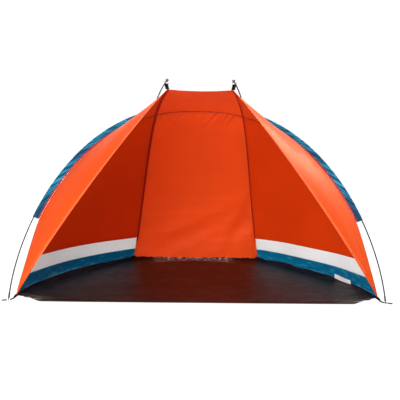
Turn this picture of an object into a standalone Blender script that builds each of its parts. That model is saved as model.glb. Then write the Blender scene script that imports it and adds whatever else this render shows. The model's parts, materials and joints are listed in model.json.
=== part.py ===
"""A pole-framed beach shelter: an orange canopy with a sewn-in floor on three poles.

One hoop pole stands at the front and leans back. Two rib poles rise from the rear corners, cross the hoop
and end at the ears above the front edge of the roof. +Z is up, the open side faces -Y, and the origin is on
the ground in the middle of the shelter.
"""

import math

import bmesh
import bpy
import numpy as np
from mathutils import Vector

# Frame, in metres
FOOT_LINE_Y = -0.566  # the hoop's two feet stand on this line
HOOP_HALF_WIDTH = 1.037
HOOP_HEIGHT = 1.170  # along the leaning plane
HOOP_WIDTH_POWER = 2.3  # the hoop is a superellipse: full shoulders over straighter legs
HOOP_HEIGHT_POWER = 1.7
HOOP_LEAN = math.radians(25)
POLE_RADIUS = 0.0035
POLE_BORE = 0.0019
CORD_RADIUS = 0.0012
FERRULE_RADIUS = 0.0045
FERRULE_BORE = 0.00385
FERRULE_HALF_LENGTH = 0.028
HOOP_SECTIONS = 5
RIB_SECTIONS = 3
STEPS_PER_SECTION = 8
SECTION_GAP = 0.0003
POLE_START = 0.020  # from the ground to the lower end of the tube, along the pole
POLE_SIDES = 8

# Canopy
CORNER_LIFT = 0.014  # height of the front corners above the ground
FLOOR_EDGE_Z = 0.0025
SLEEVE_DEPTH = 0.034  # from the hoop seam to the pole's axis
LOW_SEAM_BOW = 0.014  # extra depth halfway along the bare stretch of the pole
BARE_HEIGHT = 0.46  # along the leaning plane, up to the sleeve's lower end
CORNER_BACK = 0.013  # how far the front corners lie behind the leaning plane
CROSSING_HALF_WIDTH = 0.262
CROSSING_AT = 0.75  # parameter of the rib seam where it crosses the hoop
REAR_CORNER = Vector((0.430, 1.100, FLOOR_EDGE_Z))  # y counts from the foot line
RIB_FIRST_HANDLE = Vector((0.335, 1.060, 0.620))
EAR = Vector((0.179, 0.120, 1.155))
SIDE_BULGE = Vector((0.890, 0.660, FLOOR_EDGE_Z))  # middle handle of the floor's side edge
HEM_BOW = Vector((0.0275, 0.022, 0.020))
HEM_POWER = 0.8  # below 1, the bow is flatter in the middle
WING_BULGE = Vector((0.002, -0.002, -0.004))  # of the upper middle of the wing
ROOF_SAG = 0.008
FLOOR_FRONT_Y = -0.036
FLOOR_FRONT_HALF_WIDTH = 0.850
FLOOR_THICKNESS = 0.0012
FABRIC = 0.001
SEAM_INSET = 0.002
BAND_GAP = 0.0004
WALL_TOP = 0.985  # share of the wall's height; above it the wall is too narrow to cut
WING_FOOT = 0.025  # share of the wing's height, where it is wide enough to cut
WING_TOP_INSET = 0.0025  # share of the wing's height, held back from the rib seam
TEAL_TOP = 0.074  # share of the height from the floor to the crossing
WHITE_TOP = 0.152
FRONT_BAND_RISE = 0.874  # below 1, the bands stand higher at the hoop than at the rib

# Sleeves
SLEEVE_BORE = 0.0053
SLEEVE_WALL = 0.0008
SLEEVE_TAIL_GAP = 0.003  # from the seam to the end of the sleeve's tail
SLEEVE_TAIL_HALF = 0.0012
BORE_TAIL_GAP = 0.006
BORE_TAIL_HALF = 0.0004
SLEEVE_AFTER_BARE = 0.008  # the sleeve starts this much farther along the tube than BARE_HEIGHT
RIB_DEPTH = 0.034  # from the rib seam to the pole's axis
RIB_LIFT_FROM = 0.35  # above this parameter the pole rises off the seam, to clear the hoop
EAR_DEPTH = 0.0515
RIB_SPLAY = 0.45  # how far the pole leans outward from the seam, at the foot
EAR_SPLAY = 0.06
RIB_SLEEVE = (0.13, 1.02)  # distances along the rib pole

# Corner hardware
WEBBING = 0.020
STRAP_THICKNESS = 0.0015
STRAP_Z = 0.0020
STRAP_HALF_FLAT = 0.0105
EYELET_BORE = 0.0044
EYELET_BARREL = 0.0051
EYELET_FLANGE = 0.0085
EYELET_HALF_HEIGHT = 0.0017
PIN_RADIUS = 0.0026
PIN_FOOT = 0.0022  # distances along the pole's axis from the ground
PIN_TOP = 0.0120
TIP_TOP = 0.0400
TIP_RADIUS = 0.0048
TIP_FLANGE = 0.0055
TIP_BORE = 0.0039
REAR_STRAP_LIFT = 0.008  # above the rear corner
STRAP_SEWN = 0.0025  # from the corner to the strap's sewn end, and again to its first bend
STRAP_BEND_LENGTH = 0.003
STRAP_BEND_RISE = 0.0015
LOOP_GAP = 0.0016
LOOP_LENGTH = 0.026
LOOP_BAND = 0.006
LOOP_HALF_THICKNESS = 0.001

# Ears
KNOB_RADIUS = 0.009
KNOB_NECK = 0.005
NECK_START = -0.0165  # distances along the pole from the knob's centre
NECK_END = -0.0080
BALL_START = math.radians(-58)
BALL_END_RADIUS = 0.001
RING_BACK = 0.021  # from the knob's centre back along the pole
RING_HALF_WIDTH = 0.013
RING_TOP = 0.0054
RING_BAR = -0.0135
RING_WIRE = 0.0014
RING_CORNER = 0.002
TAB_WIDTH = 0.0205
TAB_THICKNESS = 0.0008
TAB_FOLD = RING_WIRE + 0.0009  # radius of the fold round the ring's bar
TAB_FOOT_HALF = 0.0006
TAB_FOOT_RISE = 0.0025

# Care label, on the right wall
LABEL_SPAN = (0.602, 0.746)  # shares of the floor's side edge, from the rear
LABEL_HEIGHT = 0.035
LABEL_OFF_WALL = 0.009
LABEL_FOOT_Z = 0.012
LABEL_THICKNESS = 0.0006

X_AXIS = Vector((1, 0, 0))
Z_AXIS = Vector((0, 0, 1))
HOOP_UP = Vector((0, math.sin(HOOP_LEAN), math.cos(HOOP_LEAN)))
HOOP_NORMAL = X_AXIS.cross(HOOP_UP)


def linear(red, green, blue):
    """Blender's linear colour for an sRGB colour of 0 to 255."""
    share = np.array([red, green, blue]) / 255
    return *np.where(share > 0.04045, ((share + 0.055) / 1.055) ** 2.4, share / 12.92), 1.0


def make_material(name, colour, roughness, metallic=0.0):
    material = bpy.data.materials.new(name)
    material.use_nodes = True
    shader = material.node_tree.nodes["Principled BSDF"]
    shader.inputs["Base Color"].default_value = linear(*colour)
    shader.inputs["Roughness"].default_value = roughness
    shader.inputs["Metallic"].default_value = metallic
    return material


# Lines of the canopy. Each takes a side, -1 for left and 1 for right.


def mirrored(point, side):
    """A point of the right half, with y from the foot line, on the side asked for."""
    return Vector((side * point.x, FOOT_LINE_Y + point.y, point.z))


def hoop_point(angle, depth=0.0):
    """A point of the hoop, depth inside its axis, in the leaning plane. Angle 0 is the right foot."""
    side = math.copysign(1.0, math.cos(angle))
    across = abs(math.cos(angle)) ** (2 / HOOP_WIDTH_POWER)
    up = abs(math.sin(angle)) ** (2 / HOOP_HEIGHT_POWER)
    slope_across = across ** (HOOP_WIDTH_POWER - 1) * HOOP_WIDTH_POWER / HOOP_HALF_WIDTH
    slope_up = up ** (HOOP_HEIGHT_POWER - 1) * HOOP_HEIGHT_POWER / HOOP_HEIGHT
    outward = Vector((slope_across, slope_up)).normalized()
    width = across * HOOP_HALF_WIDTH - depth * outward.x
    height = up * HOOP_HEIGHT - depth * outward.y
    return X_AXIS * side * width + HOOP_UP * height + Vector((0, FOOT_LINE_Y, 0))


def seam_point(angle):
    """A point of the hoop seam, which lies inside the hoop and falls back towards the front corner."""
    height = HOOP_HEIGHT * abs(math.sin(angle)) ** (2 / HOOP_HEIGHT_POWER)
    depth = SLEEVE_DEPTH
    back = 0.0
    if height < BARE_HEIGHT:
        depth += LOW_SEAM_BOW * math.sin(math.pi * height / BARE_HEIGHT)
        back = CORNER_BACK * (1 - height / BARE_HEIGHT) ** 2
    return hoop_point(angle, depth) + Vector((0, back, 0))


SEAM_ANGLES = np.linspace(0.0, math.pi / 2, 401)
SEAM_POINTS = [seam_point(angle) for angle in SEAM_ANGLES]
CROSSING_ANGLE = float(
    np.interp(-CROSSING_HALF_WIDTH, [-point.x for point in SEAM_POINTS], SEAM_ANGLES)
)
CROSSING = seam_point(CROSSING_ANGLE)


def hoop_seam(share, side):
    """The hoop seam from the front corner, share 0, up to the crossing, share 1."""
    height = CORNER_LIFT + (CROSSING.z - CORNER_LIFT) * share**FRONT_BAND_RISE
    angle = float(np.interp(height, [point.z for point in SEAM_POINTS], SEAM_ANGLES))
    point = seam_point(angle)
    return Vector((side * point.x, point.y, point.z))


def roof_seam(share):
    """The hoop seam over the roof, from the left crossing to the right one."""
    angle = CROSSING_ANGLE + (math.pi - 2 * CROSSING_ANGLE) * (1 - share)
    return seam_point(angle)


def rib_handles(side):
    """The rib seam's four Bezier handles. The third one makes the curve pass the crossing."""
    start, first, end = (mirrored(p, side) for p in (REAR_CORNER, RIB_FIRST_HANDLE, EAR))
    crossing = Vector((side * CROSSING.x, CROSSING.y, CROSSING.z))
    t = CROSSING_AT
    rest = start * (1 - t) ** 3 + first * 3 * t * (1 - t) ** 2 + end * t**3
    return start, first, (crossing - rest) / (3 * t * t * (1 - t)), end


def rib_seam(t, side):
    a, b, c, d = rib_handles(side)
    return a * (1 - t) ** 3 + b * 3 * t * (1 - t) ** 2 + c * 3 * t * t * (1 - t) + d * t**3


def rib_share(share, side):
    """The rib seam from the rear corner, share 0, to the crossing, share 1, even in height."""
    steps = np.linspace(0.0, CROSSING_AT, 121)
    heights = [rib_seam(t, side).z for t in steps]
    height = FLOOR_EDGE_Z + (CROSSING.z - FLOOR_EDGE_Z) * share
    return rib_seam(float(np.interp(height, heights, steps)), side)


def rib_axis(t, side):
    """The rib pole's axis: outside the seam, and farther out towards the ear."""
    step = 0.01
    along = rib_seam(min(t + step, 1.0), side) - rib_seam(max(t - step, 0.0), side)
    outward = Vector((0, along.z, -along.y)).normalized()
    splay = RIB_SPLAY + (EAR_SPLAY - RIB_SPLAY) * t
    outward = (outward + X_AXIS * side * splay).normalized()
    lift = max(0.0, (t - RIB_LIFT_FROM) / (1 - RIB_LIFT_FROM))
    return rib_seam(t, side) + outward * (RIB_DEPTH + (EAR_DEPTH - RIB_DEPTH) * lift)


def floor_side(share, side):
    """The floor's side edge, from the rear corner to the front corner, which is lifted."""
    start, middle = mirrored(REAR_CORNER, side), mirrored(SIDE_BULGE, side)
    end = hoop_seam(0.0, side)
    end = Vector((end.x, end.y, FLOOR_EDGE_Z))
    point = start * (1 - share) ** 2 + middle * 2 * share * (1 - share) + end * share**2
    return point + Z_AXIS * (CORNER_LIFT - FLOOR_EDGE_Z) * share**6


def front_hem(share, side):
    """The wing's free edge, from the front corner to the ear."""
    corner, ear = hoop_seam(0.0, side), mirrored(EAR, side)
    bow = Vector((side * HEM_BOW.x, HEM_BOW.y, HEM_BOW.z))
    return corner.lerp(ear, share) + bow * (4 * share * (1 - share)) ** HEM_POWER


def roof_front(share):
    sag = ROOF_SAG * 4 * share * (1 - share)
    return mirrored(EAR, -1).lerp(mirrored(EAR, 1), share) - Z_AXIS * sag


# Surfaces, each as a function of two shares


def side_wall(u, v, side):
    """The wall, u from the rib seam to the hoop seam, v from the floor up to the crossing."""
    bottom = floor_side(u, side) - floor_side(0, side).lerp(floor_side(1, side), u)
    return rib_share(v, side).lerp(hoop_seam(v, side), u) + bottom * (1 - v)


def wing(u, v, side):
    """The wing, u from the free hem to the hoop seam, v from the front corner up to the rib seam."""
    top = rib_seam(1 - (1 - CROSSING_AT) * u, side)
    bend = top - rib_seam(1, side).lerp(rib_seam(CROSSING_AT, side), u)
    bulge = Vector((side * WING_BULGE.x, WING_BULGE.y, WING_BULGE.z))
    # Each factor is 1 at its highest, at u = 1/2 and at v = 3/4.
    swell = (4 * u * (1 - u)) * (v**3 * (1 - v) * 256 / 27)
    return front_hem(v, side).lerp(hoop_seam(v, side), u) + bend * v + bulge * swell


def four_sided(left, right, low, high):
    """The Coons surface inside four edges. Left and right run upwards, low and high to the right."""

    def surface(u, v):
        corners = low(0).lerp(low(1), u).lerp(high(0).lerp(high(1), u), v)
        return left(v).lerp(right(v), u) + low(u).lerp(high(u), v) - corners

    return surface


def back_panel(u, v):
    left_foot, right_foot = mirrored(REAR_CORNER, -1), mirrored(REAR_CORNER, 1)
    return four_sided(
        lambda s: rib_share(s, -1),
        lambda s: rib_share(s, 1),
        lambda s: left_foot.lerp(right_foot, s),
        roof_seam,
    )(u, v)


def roof_panel(u, v):
    return four_sided(
        lambda s: rib_seam(CROSSING_AT + (1 - CROSSING_AT) * s, -1),
        lambda s: rib_seam(CROSSING_AT + (1 - CROSSING_AT) * s, 1),
        roof_seam,
        roof_front,
    )(u, v)


# Mesh making


def add_object(name, mesh_maker, material, origin, parent):
    """A named object from a bmesh in world coordinates, with its own origin."""
    mesh = bpy.data.meshes.new(name)
    for vertex in mesh_maker.verts:
        vertex.co -= origin
    bmesh.ops.recalc_face_normals(mesh_maker, faces=mesh_maker.faces)
    mesh_maker.to_mesh(mesh)
    mesh_maker.free()
    mesh.materials.append(material)
    mesh.shade_smooth()
    mesh.set_sharp_from_angle(angle=math.radians(40))
    obj = bpy.data.objects.new(name, mesh)
    obj.location = origin
    obj.parent = parent
    bpy.context.scene.collection.objects.link(obj)
    return obj


def stack(loops, joined_ends=False):
    """A bmesh skin over loops of equal length, with end caps or with its ends joined."""
    maker = bmesh.new()
    rings = [[maker.verts.new(point) for point in loop] for loop in loops]
    pairs = list(zip(rings, rings[1:]))
    if joined_ends:
        pairs.append((rings[-1], rings[0]))
    for low, high in pairs:
        for i in range(len(low)):
            j = (i + 1) % len(low)
            maker.faces.new((low[i], low[j], high[j], high[i]))
    if not joined_ends:
        maker.faces.new(rings[0])
        maker.faces.new(rings[-1])
    return maker


def hollow(outer, inner):
    """A bmesh tube: out along the outer loops, back along the inner loops."""
    return stack(list(outer) + list(reversed(inner)), joined_ends=True)


def sheet(name, surface, columns, rows, thickness, material, parent):
    """A sheet object: a grid over the surface, thickened by Solidify on both sides."""
    maker = bmesh.new()
    grid = [[maker.verts.new(surface(u, v)) for u in columns] for v in rows]
    for low, high in zip(grid, grid[1:]):
        for i in range(len(columns) - 1):
            maker.faces.new((low[i], low[i + 1], high[i + 1], high[i]))
    origin = surface(columns[0], rows[0]).copy()
    obj = add_object(name, maker, material, origin, parent)
    thicken(obj, thickness)
    return obj


def thicken(obj, thickness):
    solidify = obj.modifiers.new("thickness", "SOLIDIFY")
    solidify.thickness = thickness
    solidify.offset = 0.0


def inset_shares(first, last, count, start=SEAM_INSET, end=SEAM_INSET):
    """Shares across a panel, held back from both edges by lengths in metres."""
    width = (last - first).length
    return np.linspace(start / width, 1 - end / width, count)


# Pole routes


def resample(points, count):
    """The polyline's points, respaced evenly into count steps."""
    along = np.concatenate([[0], np.cumsum([(b - a).length for a, b in zip(points, points[1:])])])
    wanted = np.linspace(0, along[-1], count + 1)
    axes = [np.interp(wanted, along, [point[i] for point in points]) for i in range(3)]
    return [Vector(point) for point in zip(*axes)]


def walk(points, start, end):
    """The stretch of a polyline between two distances along it, with its corners."""
    along = np.concatenate([[0], np.cumsum([(b - a).length for a, b in zip(points, points[1:])])])
    wanted = [start, *(d for d in along if start + 1e-6 < d < end - 1e-6), end]
    axes = [np.interp(wanted, along, [point[i] for point in points]) for i in range(3)]
    return [Vector(point) for point in zip(*axes)]


def length_of(points):
    return sum((b - a).length for a, b in zip(points, points[1:]))


def tangents(points):
    ends = [points[0], *points, points[-1]]
    return [(after - before).normalized() for before, after in zip(ends, ends[2:])]


def round_loops(points, radius, reference, sides=POLE_SIDES):
    """Circles around a polyline. The same reference lines up nested tubes."""
    loops = []
    for point, along in zip(points, tangents(points)):
        normal = reference.cross(along).normalized()
        binormal = along.cross(normal)
        turns = [2 * math.pi * i / sides for i in range(sides)]
        loops.append(
            [point + (normal * math.cos(a) + binormal * math.sin(a)) * radius for a in turns]
        )
    return loops


def turned(profile, foot, axis, sides=12, joined_ends=False):
    """A turned solid. The profile is pairs of a radius and a distance along the axis."""
    across = axis.orthogonal().normalized()
    other = axis.cross(across)
    loops = []
    for radius, height in profile:
        turns = [2 * math.pi * i / sides for i in range(sides)]
        loops.append(
            [
                foot + axis * height + (across * math.cos(a) + other * math.sin(a)) * radius
                for a in turns
            ]
        )
    return stack(loops, joined_ends=joined_ends)


def hoop_route():
    angles = np.linspace(0, math.pi, 721)
    points = [hoop_point(angle) for angle in angles]
    whole = walk(points, POLE_START, length_of(points) - POLE_START)
    return resample(whole, HOOP_SECTIONS * STEPS_PER_SECTION)


def rib_route(side):
    points = [rib_axis(t, side) for t in np.linspace(0, 1, 401)]
    whole = walk(points, POLE_START, length_of(points) - KNOB_RADIUS)
    return resample(whole, RIB_SECTIONS * STEPS_PER_SECTION)


def add_pole(name, route, sections, reference, materials, parent):
    """Tube sections end to end, a ferrule over each joint, and the shock cord inside."""
    total = length_of(route)
    step = total / sections
    for i in range(sections):
        line = walk(route, i * step + SECTION_GAP, (i + 1) * step - SECTION_GAP)
        outer = round_loops(line, POLE_RADIUS, reference)
        inner = round_loops(line, POLE_BORE, reference)
        piece = f"{name}_section_{i + 1}"
        add_object(piece, hollow(outer, inner), materials["pole"], line[0].copy(), parent)
    for i in range(1, sections):
        line = walk(route, i * step - FERRULE_HALF_LENGTH, i * step + FERRULE_HALF_LENGTH)
        outer = round_loops(line, FERRULE_RADIUS, reference)
        inner = round_loops(line, FERRULE_BORE, reference)
        piece = f"{name}_ferrule_{i}"
        add_object(piece, hollow(outer, inner), materials["ferrule"], line[0].copy(), parent)
    line = walk(route, SECTION_GAP, total - SECTION_GAP)
    cord = stack(round_loops(line, CORD_RADIUS, reference, sides=6))
    add_object(f"{name}_shock_cord", cord, materials["cord"], line[0].copy(), parent)


def add_foot_tip(name, foot, above, material, parent):
    """A cup on the pole's lower end, with a flange and a pin that stands in the eyelet."""
    axis = (above - foot).normalized()
    profile = [
        (PIN_RADIUS * 0.6, PIN_FOOT),
        (PIN_RADIUS, PIN_FOOT + 0.0010),
        (PIN_RADIUS, PIN_TOP),
        (TIP_FLANGE, PIN_TOP + 0.0005),
        (TIP_FLANGE, PIN_TOP + 0.0030),
        (TIP_RADIUS, PIN_TOP + 0.0040),
        (TIP_RADIUS, TIP_TOP),
        (TIP_BORE, TIP_TOP),
        (TIP_BORE, POLE_START - SECTION_GAP),
    ]
    add_object(name, turned(profile, foot, axis), material, foot.copy(), parent)


# Sleeves


def teardrop(centre, along, seam, radius, tail_gap, tail_half):
    """A sleeve's outline round the pole, drawn out to a thin tail near the seam."""
    inward = seam - centre
    inward -= along * inward.dot(along)
    depth = inward.length
    inward.normalize()
    sideways = along.cross(inward)
    arc = [math.radians(angle) for angle in np.linspace(70, 290, 7)]
    round_part = [(radius * math.cos(a), radius * math.sin(a)) for a in arc]
    outline = [(depth - tail_gap, tail_half), *round_part, (depth - tail_gap, -tail_half)]
    return [centre + inward * p + sideways * q for p, q in outline]


def add_sleeve(name, line, seams, material, parent):
    """A fabric tube round a stretch of pole, open at both ends."""
    outer = []
    inner = []
    for centre, along, seam in zip(line, tangents(line), seams):
        wide = SLEEVE_BORE + SLEEVE_WALL
        outer.append(teardrop(centre, along, seam, wide, SLEEVE_TAIL_GAP, SLEEVE_TAIL_HALF))
        inner.append(teardrop(centre, along, seam, SLEEVE_BORE, BORE_TAIL_GAP, BORE_TAIL_HALF))
    add_object(name, hollow(outer, inner), material, line[0].copy(), parent)


def nearest(point, candidates):
    return min(candidates, key=lambda other: (other - point).length)


def add_sleeves(hoop_line, rib_lines, material, parent):
    seam = [seam_point(angle) for angle in np.linspace(0, math.pi, 1441)]
    bare = BARE_HEIGHT + SLEEVE_AFTER_BARE
    line = walk(hoop_line, bare, length_of(hoop_line) - bare)
    add_sleeve("hoop_sleeve", line, [nearest(p, seam) for p in line], material, parent)
    for side, word in ((-1, "left"), (1, "right")):
        seam = [rib_seam(t, side) for t in np.linspace(0, 1, 801)]
        line = walk(rib_lines[side], *RIB_SLEEVE)
        add_sleeve(f"rib_sleeve_{word}", line, [nearest(p, seam) for p in line], material, parent)


# Canopy panels


def add_wall(side, word, materials, parent):
    """The side wall in three strips: teal at the foot, white above it, orange up to the crossing."""

    def surface(u, v):
        across = (hoop_seam(v, side) - rib_share(v, side)).length
        inset = SEAM_INSET / across
        return side_wall(inset + (1 - 2 * inset) * u, v, side)

    gap = BAND_GAP / CROSSING.z
    strips = (
        (f"teal_band_{word}", 0.0, TEAL_TOP - gap, 2, "teal"),
        (f"white_band_{word}", TEAL_TOP + gap, WHITE_TOP - gap, 2, "white"),
        (f"side_wall_{word}", WHITE_TOP + gap, WALL_TOP, 10, "orange"),
    )
    for name, low, high, count, colour in strips:
        columns = np.linspace(0, 1, 12)
        rows = np.linspace(low, high, count)
        sheet(name, surface, columns, rows, FABRIC, materials[colour], parent)


def add_wing(side, word, materials, parent):
    def surface(u, v):
        across = (hoop_seam(v, side) - front_hem(v, side)).length
        inset = SEAM_INSET / across
        return wing(inset + (1 - 2 * inset) * u, v, side)

    columns = np.linspace(0, 1, 6)
    rows = np.linspace(WING_FOOT, 1 - WING_TOP_INSET, 13)
    sheet(f"wing_{word}", surface, columns, rows, FABRIC, materials["orange"], parent)


def add_groundsheet(material, parent):
    """A flat floor, held back from the walls all round."""
    shares = np.linspace(0, 1, 13)
    right = [floor_side(share, 1) for share in shares]
    outline = [(p.x - SEAM_INSET, p.y) for p in right]
    outline[0] = (outline[0][0], outline[0][1] - SEAM_INSET)
    outline.append((FLOOR_FRONT_HALF_WIDTH, FOOT_LINE_Y + FLOOR_FRONT_Y))
    outline += [(-x, y) for x, y in reversed(outline)]
    loops = [[Vector((x, y, z)) for x, y in outline] for z in (0.0, FLOOR_THICKNESS)]
    add_object("groundsheet", stack(loops), material, Vector((0, 0, 0)), parent)


def add_canopy(materials, parent):
    wide = inset_shares(mirrored(REAR_CORNER, -1), mirrored(REAR_CORNER, 1), 9)
    tall = inset_shares(mirrored(REAR_CORNER, 1), CROSSING, 13, start=0.0)
    sheet("back_panel", back_panel, wide, tall, FABRIC, materials["orange"], parent)
    wide = inset_shares(mirrored(EAR, -1), mirrored(EAR, 1), 9)
    deep = inset_shares(CROSSING, mirrored(EAR, 1), 6)
    sheet("roof_panel", roof_panel, wide, deep, FABRIC, materials["orange"], parent)
    for side, word in ((-1, "left"), (1, "right")):
        add_wall(side, word, materials, parent)
        add_wing(side, word, materials, parent)
    add_groundsheet(materials["floor"], parent)


# Corners: a strap with an eyelet for the pole's pin, and a peg loop hinged on its end


def add_corner(word, corner, eye, materials, parent):
    """corner is the canopy's corner, eye is where the pole's axis passes the strap's end."""
    away = Vector((eye.x - corner.x, eye.y - corner.y, 0))
    reach = away.length
    away.normalize()
    sideways = Z_AXIS.cross(away)
    lift = corner.z
    flat_start = reach - STRAP_HALF_FLAT
    profile = (
        (STRAP_SEWN, lift),
        (2 * STRAP_SEWN, lift),
        (flat_start - STRAP_BEND_LENGTH, STRAP_Z + STRAP_BEND_RISE),
        (flat_start, STRAP_Z),
        (reach + STRAP_HALF_FLAT, STRAP_Z),
    )
    start = Vector((corner.x, corner.y, 0))
    path = [start + away * r + Z_AXIS * z for r, z in profile]
    maker = bmesh.new()
    rows = [[maker.verts.new(p + sideways * WEBBING * s) for s in (-0.5, 0.5)] for p in path]
    for low, high in zip(rows, rows[1:]):
        maker.faces.new((low[0], low[1], high[1], high[0]))
    strap = add_object(f"strap_{word}", maker, materials["webbing"], path[0].copy(), parent)
    thicken(strap, STRAP_THICKNESS)
    centre = start + away * reach + Z_AXIS * STRAP_Z
    cut_round_hole(strap, centre, EYELET_BARREL + SECTION_GAP)
    add_eyelet(f"eyelet_{word}", centre, materials["steel"], parent)
    hinge = start + away * (reach + STRAP_HALF_FLAT + LOOP_GAP) + Z_AXIS * STRAP_Z
    add_peg_loop(f"peg_loop_{word}", hinge, away, sideways, materials["webbing"], parent)


def cut_round_hole(obj, centre, radius):
    height = 0.01
    profile = [(radius, -height / 2), (radius, height / 2)]
    maker = turned(profile, centre, Z_AXIS.copy(), sides=16)
    cutter = add_object(f"{obj.name}_cutter", maker, obj.data.materials[0], centre.copy(), None)
    cutter.hide_render = True
    cutter.display_type = "WIRE"
    cut = obj.modifiers.new("hole", "BOOLEAN")
    cut.operation = "DIFFERENCE"
    cut.solver = "EXACT"
    cut.object = cutter


def add_eyelet(name, centre, material, parent):
    inner_gap = STRAP_THICKNESS / 2 + SECTION_GAP
    profile = [
        (EYELET_BORE, -EYELET_HALF_HEIGHT),
        (EYELET_FLANGE, -EYELET_HALF_HEIGHT),
        (EYELET_FLANGE, -inner_gap),
        (EYELET_BARREL, -inner_gap),
        (EYELET_BARREL, inner_gap),
        (EYELET_FLANGE, inner_gap),
        (EYELET_FLANGE, EYELET_HALF_HEIGHT),
        (EYELET_BORE, EYELET_HALF_HEIGHT),
    ]
    ring = turned(profile, centre, Z_AXIS.copy(), joined_ends=True)
    add_object(name, ring, material, centre.copy(), parent)


def add_peg_loop(name, hinge, away, sideways, material, parent):
    """A flat webbing loop, its origin on the hinge line at the strap's end."""

    def outline(half_width, near, far):
        points = [(near, half_width), (near, -half_width)]
        for i in range(7):
            angle = math.radians(-90 + 30 * i)
            reach = far - half_width + half_width * math.cos(angle)
            points.append((reach, half_width * math.sin(angle)))
        return points

    outer = outline(WEBBING / 2, 0.0, LOOP_LENGTH)
    inner = outline(WEBBING / 2 - LOOP_BAND, LOOP_BAND, LOOP_LENGTH - LOOP_BAND)
    levels = (-LOOP_HALF_THICKNESS, LOOP_HALF_THICKNESS)

    def loops(points):
        return [
            [hinge + away * r + sideways * q + Z_AXIS * z for r, q in points] for z in levels
        ]

    add_object(name, hollow(loops(outer), loops(inner)), material, hinge.copy(), parent)


def pole_foot(above, beyond):
    """Where the lowest straight stretch of a pole's axis would meet the ground."""
    axis = above - beyond
    return above - axis * (above.z / axis.z)


def add_corners(hoop_line, rib_lines, materials, parent):
    for side, word in ((-1, "left"), (1, "right")):
        above, beyond = hoop_line[:2] if side > 0 else hoop_line[:-3:-1]
        foot = pole_foot(above, beyond)
        add_foot_tip(f"hoop_tip_{word}", foot, above, materials["ferrule"], parent)
        eye = foot.lerp(above, STRAP_Z / above.z)
        add_corner(f"front_{word}", hoop_seam(0.0, side), eye, materials, parent)
        above, beyond = rib_lines[side][:2]
        foot = pole_foot(above, beyond)
        add_foot_tip(f"rib_tip_{word}", foot, above, materials["ferrule"], parent)
        eye = foot.lerp(above, STRAP_Z / above.z)
        corner = mirrored(REAR_CORNER, side) + Z_AXIS * REAR_STRAP_LIFT
        add_corner(f"rear_{word}", corner, eye, materials, parent)


# Ears: the rib pole's end knob, and the D-ring and webbing tab that hook over it


def add_ear(side, word, route, materials, parent):
    centre = rib_axis(1.0, side)
    along = (route[-1] - route[-2]).normalized()
    ball = np.linspace(BALL_START, math.pi / 2, 10)
    profile = [
        (TIP_BORE, -KNOB_RADIUS + SECTION_GAP),
        (TIP_BORE, NECK_START),
        (KNOB_NECK, NECK_START),
        (KNOB_NECK, NECK_END),
        *((KNOB_RADIUS * math.cos(a), KNOB_RADIUS * math.sin(a)) for a in ball[:-1]),
        (BALL_END_RADIUS, KNOB_RADIUS),
    ]
    knob = turned(profile, centre, along)
    add_object(f"ear_knob_{word}", knob, materials["knob"], centre.copy(), parent)

    hang = centre - along * RING_BACK
    up = X_AXIS.cross(along).normalized()
    if up.z < 0:
        up.negate()
    across = along.cross(up).normalized()
    arc = [math.radians(20 * i) for i in range(10)]
    round_top = RING_TOP - RING_HALF_WIDTH
    path = [(RING_HALF_WIDTH * math.cos(a), round_top + RING_HALF_WIDTH * math.sin(a)) for a in arc]
    bar_half = RING_HALF_WIDTH - RING_CORNER
    path += [(-RING_HALF_WIDTH, RING_BAR + RING_CORNER), (-bar_half, RING_BAR)]
    path += [(bar_half, RING_BAR), (RING_HALF_WIDTH, RING_BAR + RING_CORNER)]
    points = [hang + across * p + up * q for p, q in path]
    closed = [points[-1], *points, points[0]]
    loops = round_loops(closed, RING_WIRE, along, sides=6)[1:-1]
    ring = stack(loops, joined_ends=True)
    add_object(f"ear_ring_{word}", ring, materials["steel"], hang.copy(), parent)

    bar = hang + up * RING_BAR
    ear = mirrored(EAR, side)
    down = (ear - bar).normalized()
    front = down.cross(across).normalized()
    foot = ear - down * TAB_FOOT_RISE
    path = [foot + front * TAB_FOOT_HALF]
    for angle in np.linspace(0, math.pi, 9):
        path.append(bar + (front * math.cos(angle) - down * math.sin(angle)) * TAB_FOLD)
    path.append(foot - front * TAB_FOOT_HALF)
    maker = bmesh.new()
    rows = [[maker.verts.new(p + across * TAB_WIDTH * s) for s in (-0.5, 0.5)] for p in path]
    for low, high in zip(rows, rows[1:]):
        maker.faces.new((low[0], low[1], high[1], high[0]))
    tab = add_object(f"ear_tab_{word}", maker, materials["webbing"], bar.copy(), parent)
    thicken(tab, TAB_THICKNESS)


def add_care_label(material, parent):
    """A label that stands against the right wall. Its origin is on its lower edge, the hinge line."""
    first, last = (floor_side(share, 1) for share in LABEL_SPAN)
    higher = side_wall(sum(LABEL_SPAN) / 2, 0.06, 1)
    middle = first.lerp(last, 0.5)
    lean = higher - side_wall(sum(LABEL_SPAN) / 2, 0.0, 1)
    along = (last - first).normalized()
    lean = (lean - along * lean.dot(along)).normalized()
    inward = along.cross(Z_AXIS).normalized()
    if inward.x > 0:
        inward.negate()
    half = (last - first).length / 2
    foot = middle + inward * LABEL_OFF_WALL + Z_AXIS * LABEL_FOOT_Z
    maker = bmesh.new()
    corners = [
        foot + along * half * a + lean * LABEL_HEIGHT * b
        for a, b in ((-1, 0), (1, 0), (1, 1), (-1, 1))
    ]
    maker.faces.new([maker.verts.new(corner) for corner in corners])
    label = add_object("care_label", maker, material, foot.copy(), parent)
    thicken(label, LABEL_THICKNESS)


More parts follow.
